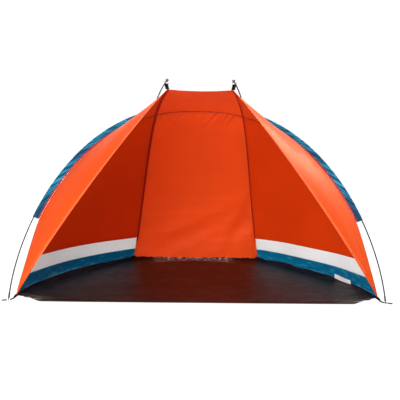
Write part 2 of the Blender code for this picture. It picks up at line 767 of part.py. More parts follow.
def make_materials():
    return {
        "orange": make_material("orange_fabric", (226, 82, 32), 0.6),
        "white": make_material("white_fabric", (222, 214, 212), 0.6),
        "teal": make_material("teal_fabric", (6, 92, 138), 0.55),
        "floor": make_material("groundsheet", (52, 38, 34), 0.35),
        "pole": make_material("pole", (22, 22, 24), 0.35),
        "ferrule": make_material("ferrule", (196, 198, 200), 0.3, 1.0),
        "steel": make_material("steel", (190, 192, 194), 0.3, 1.0),
        "cord": make_material("cord", (30, 30, 30), 0.8),
        "webbing": make_material("webbing", (28, 28, 30), 0.75),
        "knob": make_material("knob", (120, 132, 116), 0.45),
        "label": make_material("label", (240, 240, 236), 0.7),
    }


def build():
    for obj in list(bpy.data.objects):
        bpy.data.objects.remove(obj, do_unlink=True)
    shelter = bpy.data.objects.new("shelter", None)
    bpy.context.scene.collection.objects.link(shelter)
    materials = make_materials()
    hoop_line = hoop_route()
    rib_lines = {side: rib_route(side) for side in (-1, 1)}
    add_pole("hoop", hoop_line, HOOP_SECTIONS, HOOP_NORMAL, materials, shelter)
    for side, word in ((-1, "left"), (1, "right")):
        add_pole(f"rib_{word}", rib_lines[side], RIB_SECTIONS, X_AXIS, materials, shelter)
        add_ear(side, word, rib_lines[side], materials, shelter)
    add_sleeves(hoop_line, rib_lines, materials["teal"], shelter)
    add_canopy(materials, shelter)
    add_corners(hoop_line, rib_lines, materials, shelter)
    add_care_label(materials["label"], shelter)


build()
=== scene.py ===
"""Looks of the beach shelter: fine cloth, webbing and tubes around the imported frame.

The lines of the canopy are those of the CAD model, so every sheet lies where its solid is. Lengths are in
metres. A panel is a grid over two shares, and its relief is the height of its folds along the normal.
"""

import json
import math

import bpy
import numpy as np
from mathutils import Matrix, Vector


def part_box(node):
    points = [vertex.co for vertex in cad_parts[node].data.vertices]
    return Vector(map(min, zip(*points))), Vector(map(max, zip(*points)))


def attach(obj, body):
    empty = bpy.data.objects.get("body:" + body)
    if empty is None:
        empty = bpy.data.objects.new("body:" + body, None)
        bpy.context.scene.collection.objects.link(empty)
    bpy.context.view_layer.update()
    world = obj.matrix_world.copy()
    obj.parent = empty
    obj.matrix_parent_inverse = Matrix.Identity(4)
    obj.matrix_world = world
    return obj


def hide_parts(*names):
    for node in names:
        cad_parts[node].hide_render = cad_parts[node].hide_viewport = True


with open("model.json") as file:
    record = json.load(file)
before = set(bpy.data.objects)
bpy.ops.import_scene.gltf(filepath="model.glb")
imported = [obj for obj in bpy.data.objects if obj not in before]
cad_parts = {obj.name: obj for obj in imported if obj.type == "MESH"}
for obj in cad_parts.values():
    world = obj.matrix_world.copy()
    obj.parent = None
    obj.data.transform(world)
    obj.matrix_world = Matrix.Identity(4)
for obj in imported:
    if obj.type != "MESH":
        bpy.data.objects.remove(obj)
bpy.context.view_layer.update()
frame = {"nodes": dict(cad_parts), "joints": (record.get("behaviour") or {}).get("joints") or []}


def centre_of(node):
    low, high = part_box(node)
    return (low + high) / 2


# Lines of the frame
HOOP_HALF_WIDTH = 1.037
HOOP_HEIGHT = 1.170  # along the leaning plane
HOOP_WIDTH_POWER = 2.3
HOOP_HEIGHT_POWER = 1.7
HOOP_LEAN = math.radians(25)
STRAP_Z = 0.0020
STRAP_TILT = math.radians(40)  # where a strap leaves its corner
TILT_REACH = 1.1  # the share of the way to its eyelet from which a strap lies flat
REAR_STRAP_LIFT = 0.008
FOOT_LINE_Y = centre_of("eyelet_front_left").y - STRAP_Z * math.tan(HOOP_LEAN)
POLE_RADIUS = 0.0035
POLE_BORE = 0.0019
FERRULE_RADIUS = 0.0045
FERRULE_BORE = 0.00385
FERRULE_HALF_LENGTH = 0.028
HOOP_SECTIONS = 5
RIB_SECTIONS = 3
SECTION_GAP = 0.0003
POLE_START = 0.020
ROUTE_STEP, TUBE_STEP, FERRULE_STEP = 0.006, 0.008, 0.004  # between points

# Lines of the canopy
CORNER_LIFT = 0.014
FLOOR_EDGE_Z = 0.0025
SLEEVE_DEPTH = 0.034
LOW_SEAM_BOW = 0.014
BARE_HEIGHT = 0.46
CORNER_BACK = 0.013
CROSSING_HALF_WIDTH = 0.262
CROSSING_AT = 0.75
REAR_CORNER = (0.430, 1.100, FLOOR_EDGE_Z)
RIB_FIRST_HANDLE = (0.335, 1.060, 0.620)
EAR = (0.179, 0.120, 1.155)
SIDE_BULGE = (0.890, 0.660, FLOOR_EDGE_Z)
HEM_BOW = (0.0275, 0.022, 0.020)
HEM_POWER = 0.8
WING_BULGE = (0.002, -0.002, -0.004)
ROOF_SAG = 0.008
FLOOR_FRONT_Y = -0.036
FLOOR_FRONT_HALF_WIDTH = 0.850
TEAL_TOP = 0.074
WHITE_TOP = 0.152
FRONT_BAND_RISE = 0.874
RIB_DEPTH = 0.034
RIB_LIFT_FROM = 0.35
EAR_DEPTH = 0.0515
RIB_SPLAY = 0.45
EAR_SPLAY = 0.06
RIB_SLEEVE = (0.13, 1.02)

# Each panel's width and height, by which its folds are measured, and the lengths of some long edges
BACK_SIZE = (0.86, 1.2)
ROOF_SIZE = (0.45, 0.36)
WALL_SIZE = (1.1, 1.05)
WING_SIZE = (0.34, 1.3)
FLOOR_SIZE = (2.0, 1.15)
BACK_EDGE = 1.25
ROOF_WIDE_EDGE = 0.5
ROOF_EDGE = 0.37
WALL_EDGE = 1.0
WING_EDGE = 1.35
FLOOR_EDGE = 1.9

# Shares of the height: where the wall's tape ends, the wing's cloth starts and the wing's hem runs
TAPE_TOP = 0.998
WING_FOOT = 0.004
WING_HEM_SPAN = (0.055, 0.999)

# Cloth
FABRIC = 0.0005
FLOOR_FABRIC = 0.0006
RIBBON = 0.0004
CELL = 0.006
BACK_CELL = 0.005
FLOOR_CELL = 0.008
TRIM_CELL = 0.01
HEM_WIDTH = 0.011
WING_HEM_WIDTH = 0.014
FLOOR_HEM_WIDTH = 0.012
HEM_THICKNESS = 0.0012
FLOOR_RISE = 0.012  # height of the walls' foot seam, and its share of a wall's height
FOOT_FALL = 0.85  # the share of it that the seam loses up to the front corner
FOOT_FALLS_FROM = 0.8  # where that starts, as a share of the wall's length
FLOOR_TOP = 0.0016
TURN_UP = 0.014  # how far in from its rear edge the floor turns up
TURN_UP_POWER = 1.3
SIDE_SLOPE = 0.016  # how wide the floor's slope is along the walls, and at the front corners
CORNER_SLOPE = 0.146
LONG_SLOPE_FROM = 0.55  # behind the foot line
GATHER_PITCH = 0.011
GATHER_SLANT = 2.3
GATHER_DEPTH = 0.0040
SLEEVE_RADIUS = 0.0062
SLEEVE_SEAM_GAP = 0.0012
SLEEVE_CELL = 0.004
PIPING_RADIUS = 0.0034
PIPING_OFFSET = 1.2  # from the seam, in piping radii
WEAVE = 900.0  # threads to the metre
FLOOR_WEAVE = 400.0

# Hardware
WEBBING = 0.020
STRAP_THICKNESS = 0.0018
STRAP_HOLE = 0.0054
PIN_RADIUS = 0.0026
LOOP_GAP = 0.0016
LOOP_LENGTH = 0.026
LOOP_BAND = 0.006
LOOP_HALF_THICKNESS = 0.001
KNOB_RADIUS = 0.009
RING_BACK = 0.021
RING_HALF_WIDTH = 0.013
RING_TOP = 0.0054
RING_BAR = -0.0135
RING_BEND = 0.0025
RING_WIRE = 0.0014
TAB_WIDTH = 0.0205
TAB_THICKNESS = 0.0008
SHARP_ANGLE = math.radians(50)
SIDES = ((-1, "left"), (1, "right"))
WHITE = (1, 1, 1, 1)


# Numbers and lines


def lerp(a, b, share):
    """From a to b, with the share's shape widened to take points."""
    share = np.asarray(share, float)[..., None]
    return a * (1 - share) + b * share


def unit(vectors):
    return vectors / np.maximum(np.linalg.norm(vectors, axis=-1, keepdims=True), 1e-12)


def smooth(low, high, x):
    t = np.clip((x - low) / (high - low), 0, 1)
    return t * t * (3 - 2 * t)


def pairs(first, second):
    """Two lengths for each point of a grid."""
    return np.stack(np.broadcast_arrays(first, second), axis=-1)


def arc(start, end, steps):
    """Angles in radians, from start to end in degrees."""
    return np.radians(np.linspace(start, end, steps))


def arc_points(x, y, radius, start, end, steps):
    return [(x + radius * math.cos(a), y + radius * math.sin(a)) for a in arc(start, end, steps)]


def soft_noise(x, y, seed):
    """Smooth noise from -1 to 1, one cell per unit of x and y."""
    size = 97
    lattice = np.random.default_rng(seed).uniform(-1, 1, (size, size))
    i, j = np.floor(x).astype(int), np.floor(y).astype(int)
    s, t = x - i, y - j
    s, t = s * s * (3 - 2 * s), t * t * (3 - 2 * t)
    low = lattice[i % size, j % size] * (1 - s) + lattice[(i + 1) % size, j % size] * s
    high = lattice[i % size, (j + 1) % size] * (1 - s) + lattice[(i + 1) % size, (j + 1) % size] * s
    return low * (1 - t) + high * t


def creases(x, y, turn, pitch, length, seed):
    """Long soft folds, pitch apart and length long, running at an angle of turn degrees to x."""
    angle = math.radians(turn)
    along = x * math.cos(angle) + y * math.sin(angle)
    across = y * math.cos(angle) - x * math.sin(angle)
    return soft_noise(along / length + 11, across / pitch + 23, seed)


def distances(points):
    steps = np.linalg.norm(np.diff(points, axis=0), axis=1)
    return np.concatenate([[0], np.cumsum(steps)])


def points_at(points, run, wanted):
    """Points of a polyline, where run reaches the wanted distances."""
    return np.stack([np.interp(wanted, run, column) for column in points.T], axis=1)


def stretch(line, beside, start, end, step):
    """The stretch of a line between two distances, spaced evenly, and that of the points beside it."""
    wanted = np.linspace(start, end, max(3, int(round((end - start) / step)) + 1))
    return [points_at(points, distances(line), wanted) for points in (line, beside)]


def walk(line, start, end, step):
    return stretch(line, line, start, end, step)[0]


def tangents(points):
    return unit(np.gradient(points, axis=0))


# The canopy's lines, as in the CAD model. A side is -1 for left and 1 for right.


def mirrored(point, side):
    return np.array([side * point[0], FOOT_LINE_Y + point[1], point[2]])


def hoop_point(angle, depth=0.0):
    """Points of the hoop, depth inside its axis. Angle 0 is the right foot."""
    angle = np.asarray(angle, float)
    side = np.where(np.cos(angle) < 0, -1.0, 1.0)
    across = np.abs(np.cos(angle)) ** (2 / HOOP_WIDTH_POWER)
    up = np.abs(np.sin(angle)) ** (2 / HOOP_HEIGHT_POWER)
    slope_across = across ** (HOOP_WIDTH_POWER - 1) * HOOP_WIDTH_POWER / HOOP_HALF_WIDTH
    slope_up = up ** (HOOP_HEIGHT_POWER - 1) * HOOP_HEIGHT_POWER / HOOP_HEIGHT
    size = np.hypot(slope_across, slope_up)
    width = across * HOOP_HALF_WIDTH - depth * slope_across / size
    height = up * HOOP_HEIGHT - depth * slope_up / size
    leaning = FOOT_LINE_Y + height * math.sin(HOOP_LEAN)
    return np.stack([side * width, leaning, height * math.cos(HOOP_LEAN)], axis=-1)


def seam_point(angle):
    """Points of the hoop seam, which falls back towards the front corner."""
    height = HOOP_HEIGHT * np.abs(np.sin(angle)) ** (2 / HOOP_HEIGHT_POWER)
    share = np.clip(height / BARE_HEIGHT, 0, 1)
    points = hoop_point(angle, SLEEVE_DEPTH + LOW_SEAM_BOW * np.sin(math.pi * share))
    points[..., 1] += CORNER_BACK * (1 - share) ** 2
    return points


SEAM_ANGLES = np.linspace(0.0, math.pi / 2, 2001)
SEAM_POINTS = seam_point(SEAM_ANGLES)
CROSSING_ANGLE = float(np.interp(-CROSSING_HALF_WIDTH, -SEAM_POINTS[:, 0], SEAM_ANGLES))
CROSSING = seam_point(np.array(CROSSING_ANGLE))
RIB_STEPS = np.linspace(0.0, CROSSING_AT, 601)


def hoop_seam(share, side):
    """The hoop seam from the front corner, share 0, up to the crossing, share 1."""
    height = CORNER_LIFT + (CROSSING[2] - CORNER_LIFT) * np.asarray(share, float) ** FRONT_BAND_RISE
    points = seam_point(np.interp(height, SEAM_POINTS[:, 2], SEAM_ANGLES))
    return points * np.array([side, 1, 1])


def roof_seam(share):
    return seam_point(CROSSING_ANGLE + (math.pi - 2 * CROSSING_ANGLE) * (1 - np.asarray(share, float)))


def rib_seam(t, side):
    """The rib seam from the rear corner over the crossing to the ear."""
    start, first, end = (mirrored(p, side) for p in (REAR_CORNER, RIB_FIRST_HANDLE, EAR))
    crossing = CROSSING * np.array([side, 1, 1])
    at = CROSSING_AT
    rest = start * (1 - at) ** 3 + first * 3 * at * (1 - at) ** 2 + end * at**3
    second = (crossing - rest) / (3 * at * at * (1 - at))
    t = np.asarray(t, float)[..., None]
    return start * (1 - t) ** 3 + first * 3 * t * (1 - t) ** 2 + second * 3 * t * t * (1 - t) + end * t**3


def rib_share(share, side):
    """The rib seam from the rear corner, share 0, to the crossing, share 1, even in height."""
    height = FLOOR_EDGE_Z + (CROSSING[2] - FLOOR_EDGE_Z) * np.asarray(share, float)
    return rib_seam(np.interp(height, rib_seam(RIB_STEPS, side)[:, 2], RIB_STEPS), side)


def rib_axis(t, side):
    step = 0.01
    along = rib_seam(np.minimum(t + step, 1), side) - rib_seam(np.maximum(t - step, 0), side)
    outward = unit(np.stack([0 * t, along[..., 2], -along[..., 1]], axis=-1))
    splay = RIB_SPLAY + (EAR_SPLAY - RIB_SPLAY) * t
    outward = unit(outward + np.stack([side * splay, 0 * t, 0 * t], axis=-1))
    lift = np.maximum(0, (t - RIB_LIFT_FROM) / (1 - RIB_LIFT_FROM))
    return rib_seam(t, side) + outward * (RIB_DEPTH + (EAR_DEPTH - RIB_DEPTH) * lift)[..., None]


def floor_side(share, side):
    """The floor's side edge, from the rear corner to the front corner, which is lifted."""
    start, middle = mirrored(REAR_CORNER, side), mirrored(SIDE_BULGE, side)
    end = hoop_seam(0.0, side) * np.array([1, 1, 0]) + np.array([0, 0, FLOOR_EDGE_Z])
    t = np.asarray(share, float)[..., None]
    lift = np.array([0, 0, CORNER_LIFT - FLOOR_EDGE_Z]) * t**6
    return start * (1 - t) ** 2 + middle * 2 * t * (1 - t) + end * t**2 + lift


def front_hem(share, side):
    """The wing's free edge, from the front corner to the ear."""
    bow = np.array([side * HEM_BOW[0], HEM_BOW[1], HEM_BOW[2]])
    share = np.asarray(share, float)
    swell = np.maximum(4 * share * (1 - share), 0) ** HEM_POWER
    return lerp(hoop_seam(0.0, side), mirrored(EAR, side), share) + bow * swell[..., None]


def roof_front(share):
    share = np.asarray(share, float)
    sag = np.array([0, 0, ROOF_SAG]) * (4 * share * (1 - share))[..., None]
    return lerp(mirrored(EAR, -1), mirrored(EAR, 1), share) - sag


def side_wall(u, v, side):
    """The wall, u from the rib seam to the hoop seam, v from the floor up to the crossing."""
    bottom = floor_side(u, side) - lerp(floor_side(0, side), floor_side(1, side), u)
    return lerp(rib_share(v, side), hoop_seam(v, side), u) + bottom * (1 - v)[..., None]


def wing(u, v, side):
    """The wing, u from the free hem to the hoop seam, v from the front corner up to the rib seam."""
    top = rib_seam(1 - (1 - CROSSING_AT) * u, side)
    bend = top - lerp(rib_seam(1, side), rib_seam(CROSSING_AT, side), u)
    bulge = np.array([side * WING_BULGE[0], WING_BULGE[1], WING_BULGE[2]])
    swell = 4 * u * (1 - u) * v**3 * (1 - v) * 256 / 27
    flat = lerp(front_hem(v, side), hoop_seam(v, side), u)
    return flat + bend * v[..., None] + bulge * swell[..., None]


def four_sided(u, v, left, right, low, high):
    """The Coons surface inside four edges. Left and right run upwards, low and high to the right."""
    corners = lerp(lerp(low(0.0), low(1.0), u), lerp(high(0.0), high(1.0), u), v)
    return lerp(left(v), right(v), u) + lerp(low(u), high(u), v) - corners


def back_panel(u, v):
    left, right = (lambda s, side=side: rib_share(s, side) for side, _ in SIDES)
    feet = [mirrored(REAR_CORNER, side) for side, _ in SIDES]
    return four_sided(u, v, left, right, lambda s: lerp(*feet, s), roof_seam)


def roof_panel(u, v):
    rest = 1 - CROSSING_AT
    left, right = (
        lambda s, side=side: rib_seam(CROSSING_AT + rest * np.asarray(s), side) for side, _ in SIDES
    )
    return four_sided(u, v, left, right, roof_seam, roof_front)


# Meshes


def new_object(name, data):
    obj = bpy.data.objects.new(name, data)
    bpy.context.scene.collection.objects.link(obj)
    return obj


def grid_faces(rows, columns, joined_rows=False, joined_columns=False):
    """Quads over a grid of points, which may close on itself either way."""
    i = np.arange(rows if joined_rows else rows - 1)
    j = np.arange(columns if joined_columns else columns - 1)
    i, j = (a.ravel() for a in np.meshgrid(i, j, indexing="ij"))
    next_i, next_j = (i + 1) % rows, (j + 1) % columns
    corners = (i * columns + j, i * columns + next_j, next_i * columns + next_j, next_i * columns + j)
    return np.stack(corners, axis=1)


def add_lengths(mesh, name, lengths):
    """A UV map that holds two lengths in metres for each point."""
    layer = mesh.uv_layers.new(name=name)
    index = np.empty(len(mesh.loops), np.int32)
    mesh.loops.foreach_get("vertex_index", index)
    layer.data.foreach_set("uv", lengths.reshape(-1, 2)[index].astype(np.float32).ravel())


def add_piece(name, points, faces, material, uv, body="shelter"):
    """A mesh piece that rides on a body. uv holds two lengths in metres for each point."""
    mesh = bpy.data.meshes.new(name)
    mesh.from_pydata(points.reshape(-1, 3).tolist(), [], [list(face) for face in faces])
    add_lengths(mesh, "cloth", uv)
    mesh.materials.append(MATERIALS[material])
    mesh.shade_smooth()
    obj = new_object(name, mesh)
    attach(obj, body)
    return obj


def thicken(piece, thickness):
    """Makes a sheet's grid a closed sheet."""
    solidify = piece.modifiers.new("thickness", "SOLIDIFY")
    solidify.thickness = thickness
    solidify.offset = 0


def dress(piece, node):
    """The piece stands for a CAD node, whose part is hidden."""
    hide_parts(node)


def spread_uv(points):
    """Lengths along a grid's rows and columns, so that a weave keeps its scale."""
    across = np.linalg.norm(np.diff(points, axis=1), axis=2)
    up = np.linalg.norm(np.diff(points, axis=0), axis=2)
    u = np.concatenate([np.zeros((len(points), 1)), np.cumsum(across, axis=1)], axis=1)
    u -= u[:, -1:] / 2
    v = np.concatenate([np.zeros((1, points.shape[1])), np.cumsum(up, axis=0)], axis=0)
    return np.stack([u, v], axis=-1)


class Panel:
    """A surface over two shares, with its folds. Heights count towards the inside of the shelter."""

    def __init__(self, surface, relief, inside=1):
        self.surface = surface
        self.relief = relief
        self.inside = inside

    def points(self, u, v, height=0.0):
        step = 1e-3
        along_u = self.surface(np.minimum(u + step, 1), v) - self.surface(np.maximum(u - step, 0), v)
        along_v = self.surface(u, np.minimum(v + step, 1)) - self.surface(u, np.maximum(v - step, 0))
        normals = unit(np.cross(along_u, along_v)) * self.inside
        return self.surface(u, v) + normals * (self.relief(u, v) + height)[..., None]

    def near_edge(self, edge, share, profile, widen=1.0):
        """Points along an edge. The profile is pairs of a distance from the edge and a height."""
        share, distance = np.meshgrid(share, [pair[0] for pair in profile], indexing="ij")
        distance = distance * np.broadcast_to(widen, len(share))[:, None]
        height = np.broadcast_to([pair[1] for pair in profile], share.shape)
        ends = [(0 * share, share), (0 * share + 1, share)]
        if edge in ("low", "high"):
            ends = [end[::-1] for end in ends]
        inward = distance / np.linalg.norm(self.surface(*ends[0]) - self.surface(*ends[1]), axis=-1)
        if edge in ("right", "high"):
            inward = 1 - inward
        place = (share, inward) if edge in ("low", "high") else (inward, share)
        return self.points(*place, height)


def shares(length, cell=CELL, low=0.0, high=1.0):
    """Even shares from low to high, about a cell apart over a whole length."""
    return low + (high - low) * np.linspace(0, 1, max(3, int(round(length / cell)) + 1))


def cut_of(points):
    """The widest row, the longest column and the area of a grid, as its cloth would lie flat."""
    across = np.linalg.norm(np.diff(points, axis=1), axis=2).sum(axis=1).max()
    up = np.linalg.norm(np.diff(points, axis=0), axis=2).sum(axis=0).max()
    side_a = np.diff(points, axis=1)[:-1]
    side_b = np.diff(points, axis=0)[:, :-1]
    area = np.linalg.norm(np.cross(side_a, side_b), axis=2).sum()
    return (float(across), float(up)), float(area)


def add_cloth(name, panel, grid, material, node, thickness=FABRIC):
    """A panel of cloth over a grid of shares, with its folds. Gives the piece and its cut."""
    u, v = grid
    flat = panel.surface(u, v)
    piece = add_piece(name, panel.points(u, v), grid_faces(*u.shape), material, spread_uv(flat))
    thicken(piece, thickness)
    dress(piece, node)
    return piece, cut_of(flat)


def declare_sheet(cloth):
    """Works out the cloth's area from its cut, and keeps nothing. The cloth is a piece and its cut, as
    add_cloth gives them.
    """
    piece, (flat, area) = cloth
    area = min(area, flat[0] * flat[1])


# Swept and turned pieces


def circle(radius, sides):
    turns = 2 * math.pi * np.arange(sides) / sides
    return np.stack([np.cos(turns), np.sin(turns)], axis=1) * radius


def strip_outline(width, thickness, steps=8, round_steps=5):
    """A flat strip's outline, with round edges: pairs of a place across and a height."""
    radius = thickness / 2
    reach = width / 2 - radius
    half = [(x, radius) for x in np.linspace(reach, -reach, steps)]
    half += arc_points(-reach, 0, radius, 90, 270, round_steps + 2)[1:-1]
    return np.array(half + [(-x, -z) for x, z in half])


def sweep(line, outline, reference, joined_ends=False):
    """Loops of the outline along a line. The reference is square to the outline's first direction."""
    if joined_ends:
        along = unit(np.roll(line, -1, axis=0) - np.roll(line, 1, axis=0))
    else:
        along = tangents(line)
    side = unit(np.cross(reference, along))
    up = np.cross(along, side)
    outline = np.broadcast_to(outline, (len(line), *np.shape(outline)[-2:]))
    return line[:, None] + side[:, None] * outline[..., :1] + up[:, None] * outline[..., 1:]


def add_loops(name, loops, material, across=None, joined_ends=False):
    """A skin over loops of equal length. across gives the cloth's second length for each point."""
    rows, columns = loops.shape[:2]
    faces = [list(face) for face in grid_faces(rows, columns, joined_ends, True)]
    if not joined_ends:
        faces += [list(range(columns))[::-1], list(range((rows - 1) * columns, rows * columns))]
    if across is None:
        across = distances(loops[0])
    along = distances(loops.mean(axis=1))
    piece = add_piece(name, loops, faces, material, pairs(along[:, None], across))
    piece.data.set_sharp_from_angle(angle=SHARP_ANGLE)
    return piece


def add_tube(name, line, radius, bore, reference, material, sides=20):
    """A tube with its bore, for instance a pole section."""
    outer = sweep(line, circle(radius, sides), reference)
    inner = sweep(line, circle(bore, sides), reference)
    return add_loops(name, np.concatenate([outer, inner[::-1]]), material, joined_ends=True)


def add_turned(name, profile, foot, axis, material, sides=28, joined_ends=False):
    """A turned piece. The profile is pairs of a radius and a distance along the axis."""
    axis = unit(np.array(axis, float))
    across = unit(np.cross(axis, [0.3, 1.0, 0.2]))
    other = np.cross(axis, across)
    turns = 2 * math.pi * np.arange(sides) / sides
    ring = across * np.cos(turns)[:, None] + other * np.sin(turns)[:, None]
    loops = np.array([foot + axis * height + ring * radius for radius, height in profile])
    return add_loops(name, loops, material, joined_ends=joined_ends)


# Materials


def linear(red, green, blue):
    """Blender's linear colour for an sRGB colour of 0 to 255."""
    share = np.array([red, green, blue]) / 255
    return *np.where(share > 0.04045, ((share + 0.055) / 1.055) ** 2.4, share / 12.92), 1.0


def shade(colour, factor):
    return *(min(1.0, c * factor) for c in colour[:3]), 1.0


def operator(operation):
    """A method that adds a maths node for a signal and, if there is one, another value."""
    return lambda signal, *other: signal.nodes.maths(operation, signal, *other)


class Signal:
    """A node's output, which adds and multiplies like a number."""

    def __init__(self, nodes, socket):
        self.nodes = nodes
        self.socket = socket

    __add__ = operator("ADD")
    __sub__ = operator("SUBTRACT")
    __mul__ = operator("MULTIPLY")
    __truediv__ = operator("DIVIDE")
    __lt__ = operator("LESS_THAN")
    __abs__ = operator("ABSOLUTE")
    sine = operator("SINE")


class Nodes:
    """Short ways to add and link the nodes of a new material, or of the world."""

    def __init__(self, name, store=bpy.data.materials, shader="Principled BSDF"):
        self.owner = store.new(name)
        self.owner.use_nodes = True
        self.tree = self.owner.node_tree
        self.shader = self.tree.nodes[shader]

    def feed(self, node, inputs):
        """Sets a node's inputs, or links the signals among them."""
        for key, value in inputs.items():
            if isinstance(value, Signal):
                self.tree.links.new(value.socket, node.inputs[key])
            else:
                node.inputs[key].default_value = value

    def add(self, kind, inputs, output=0, **settings):
        """Adds a node and gives one of its outputs."""
        node = self.tree.nodes.new(kind)
        for key, value in settings.items():
            setattr(node, key, value)
        self.feed(node, inputs)
        return Signal(self, node.outputs[output])

    def surface(self, **inputs):
        """Sets or links the shader's inputs, by their names in lower case."""
        names = {key: key.replace("_", " ").title().replace("Ior", "IOR") for key in inputs}
        self.feed(self.shader, {names[key]: value for key, value in inputs.items()})

    def maths(self, operation, *values):
        return self.add("ShaderNodeMath", dict(enumerate(values)), operation=operation)

    def cloth_lengths(self, lengths="cloth"):
        """The two lengths in metres of the piece's cloth."""
        uv = self.add("ShaderNodeUVMap", {}, uv_map=lengths)
        return [self.add("ShaderNodeSeparateXYZ", {0: uv}, place) for place in (0, 1)]

    def place(self):
        return self.add("ShaderNodeTexCoord", {}, "Object")

    def noise(self, scale, detail, vector=None):
        inputs = {"Scale": scale, "Detail": detail, "Vector": vector or self.place()}
        return self.add("ShaderNodeTexNoise", inputs)

    def drawn_noise(self, x, y, detail, lengths="cloth"):
        """Noise over a UV map's lengths, each times its own number."""
        first, second = self.cloth_lengths(lengths)
        return self.noise(1.0, detail, self.add("ShaderNodeCombineXYZ", {0: first * x, 1: second * y}))

    def weave(self, threads):
        """The height of threads that cross each other, so many to the metre."""
        first, second = self.cloth_lengths()
        turn = 2 * math.pi * threads
        return (first * turn).sine() * (second * turn).sine()

    def mix_colours(self, share, first, second):
        return self.add("ShaderNodeMix", {0: share, 6: first, 7: second}, 2, data_type="RGBA")

    def ramp(self, value, low, high):
        """0 below low, 1 above high."""
        inputs = {"Value": value, "From Min": low, "From Max": high}
        return self.add("ShaderNodeMapRange", inputs, interpolation_type="SMOOTHSTEP")

    def uneven(self, scale, colour, darker, lighter):
        """A colour with broad patches, darker and lighter by two factors."""
        tone = self.ramp(self.noise(scale, 3.0), 0.3, 0.7)
        return self.mix_colours(tone, shade(colour, darker), shade(colour, lighter))

    def bump(self, height, strength, distance):
        return self.add("ShaderNodeBump", {"Strength": strength, "Distance": distance, "Height": height})


def cloth_material(
    name, colour, glow, through, roughness, sheen, gloss=0.12, painted_crease_highlight=None, crumple=0.0, tint=WHITE
):
    """Thin woven polyester. Through is the share of light that comes through it, and glow its colour.

    streaks, the lighter colour along its creases, is painted highlight, and crumple how strong those creases
    are.
    """
    nodes = Nodes(name)
    tone = nodes.noise(2.2, 2.0) * 0.75 + nodes.drawn_noise(900.0, 30.0, 2.0) * 0.25
    base = nodes.mix_colours(nodes.ramp(tone, 0.35, 0.65), shade(colour, 0.93), shade(colour, 1.06))
    height = nodes.weave(WEAVE) * 0.15 + nodes.noise(55.0, 4.0)
    if painted_crease_highlight:
        drawn = nodes.drawn_noise(14.0, 70.0, 4.0)
        # Painted highlight: a lighter colour along the creases.
        base = nodes.mix_colours(nodes.ramp(drawn, 0.52, 0.70), base, painted_crease_highlight)
        height = height + drawn * crumple
    normal = nodes.bump(height, 0.25, 0.0012)
    nodes.surface(
        base_color=base,
        roughness=nodes.noise(45.0, 3.0) * 0.12 + (roughness - 0.06),
        normal=normal,
        sheen_weight=sheen,
        sheen_roughness=0.4,
        sheen_tint=tint,
        specular_ior_level=gloss,
        specular_tint=tint,
    )
    behind = nodes.add("ShaderNodeBsdfTranslucent", {"Color": glow, "Normal": normal})
    front = Signal(nodes, nodes.shader.outputs[0])
    mix = nodes.add("ShaderNodeMixShader", {0: through, 1: front, 2: behind})
    nodes.feed(nodes.tree.nodes["Material Output"], {"Surface": mix})
    return nodes.owner


def sleeve_material(name, colour, light):
    """Teal polyester, drawn into creases, with a lighter colour painted on their crests as painted highlight.
    "gathers" runs across the creases.
    """
    nodes = Nodes(name)
    fine = nodes.drawn_noise(150.0, 9.0, 2.0, "gathers")
    crest = nodes.drawn_noise(70.0, 6.0, 1.0, "gathers") * 0.55 + fine * 0.45
    crest = crest + nodes.drawn_noise(9.0, 9.0, 2.0, "gathers") * 0.3
    nodes.surface(
        # Painted highlight: the lighter colour on the crests of the gathers.
        base_color=nodes.mix_colours(nodes.ramp(crest, 0.62, 0.76), colour, light),
        roughness=fine * -0.25 + 0.52,
        normal=nodes.bump(crest + nodes.weave(WEAVE) * 0.02, 0.7, 0.006),
        sheen_weight=0.02,
        specular_ior_level=0.12,
    )
    return nodes.owner


def hem_material(name, colour, thread, rows, stitch=0.0035, width=0.0005):
    """Folded cloth with rows of stitching. Rows are distances from the hem's middle."""
    nodes = Nodes(name)
    along, across = nodes.cloth_lengths()
    dash = abs(nodes.maths("FRACT", along / stitch) - 0.5) < 0.36
    seam = abs(across - rows[0]) < width
    for row in rows[1:]:
        seam = nodes.maths("MAXIMUM", seam, abs(across - row) < width)
    stitches = seam * dash
    pucker = nodes.drawn_noise(160.0, 40.0, 2.0)
    nodes.surface(
        base_color=nodes.mix_colours(stitches, nodes.uneven(6.0, colour, 0.9, 1.05), thread),
        normal=nodes.bump(pucker * 1.5 - seam * 0.8 + stitches, 0.5, 0.0008),
        roughness=0.6,
        sheen_weight=0.05,
        specular_ior_level=0.15,
    )
    return nodes.owner


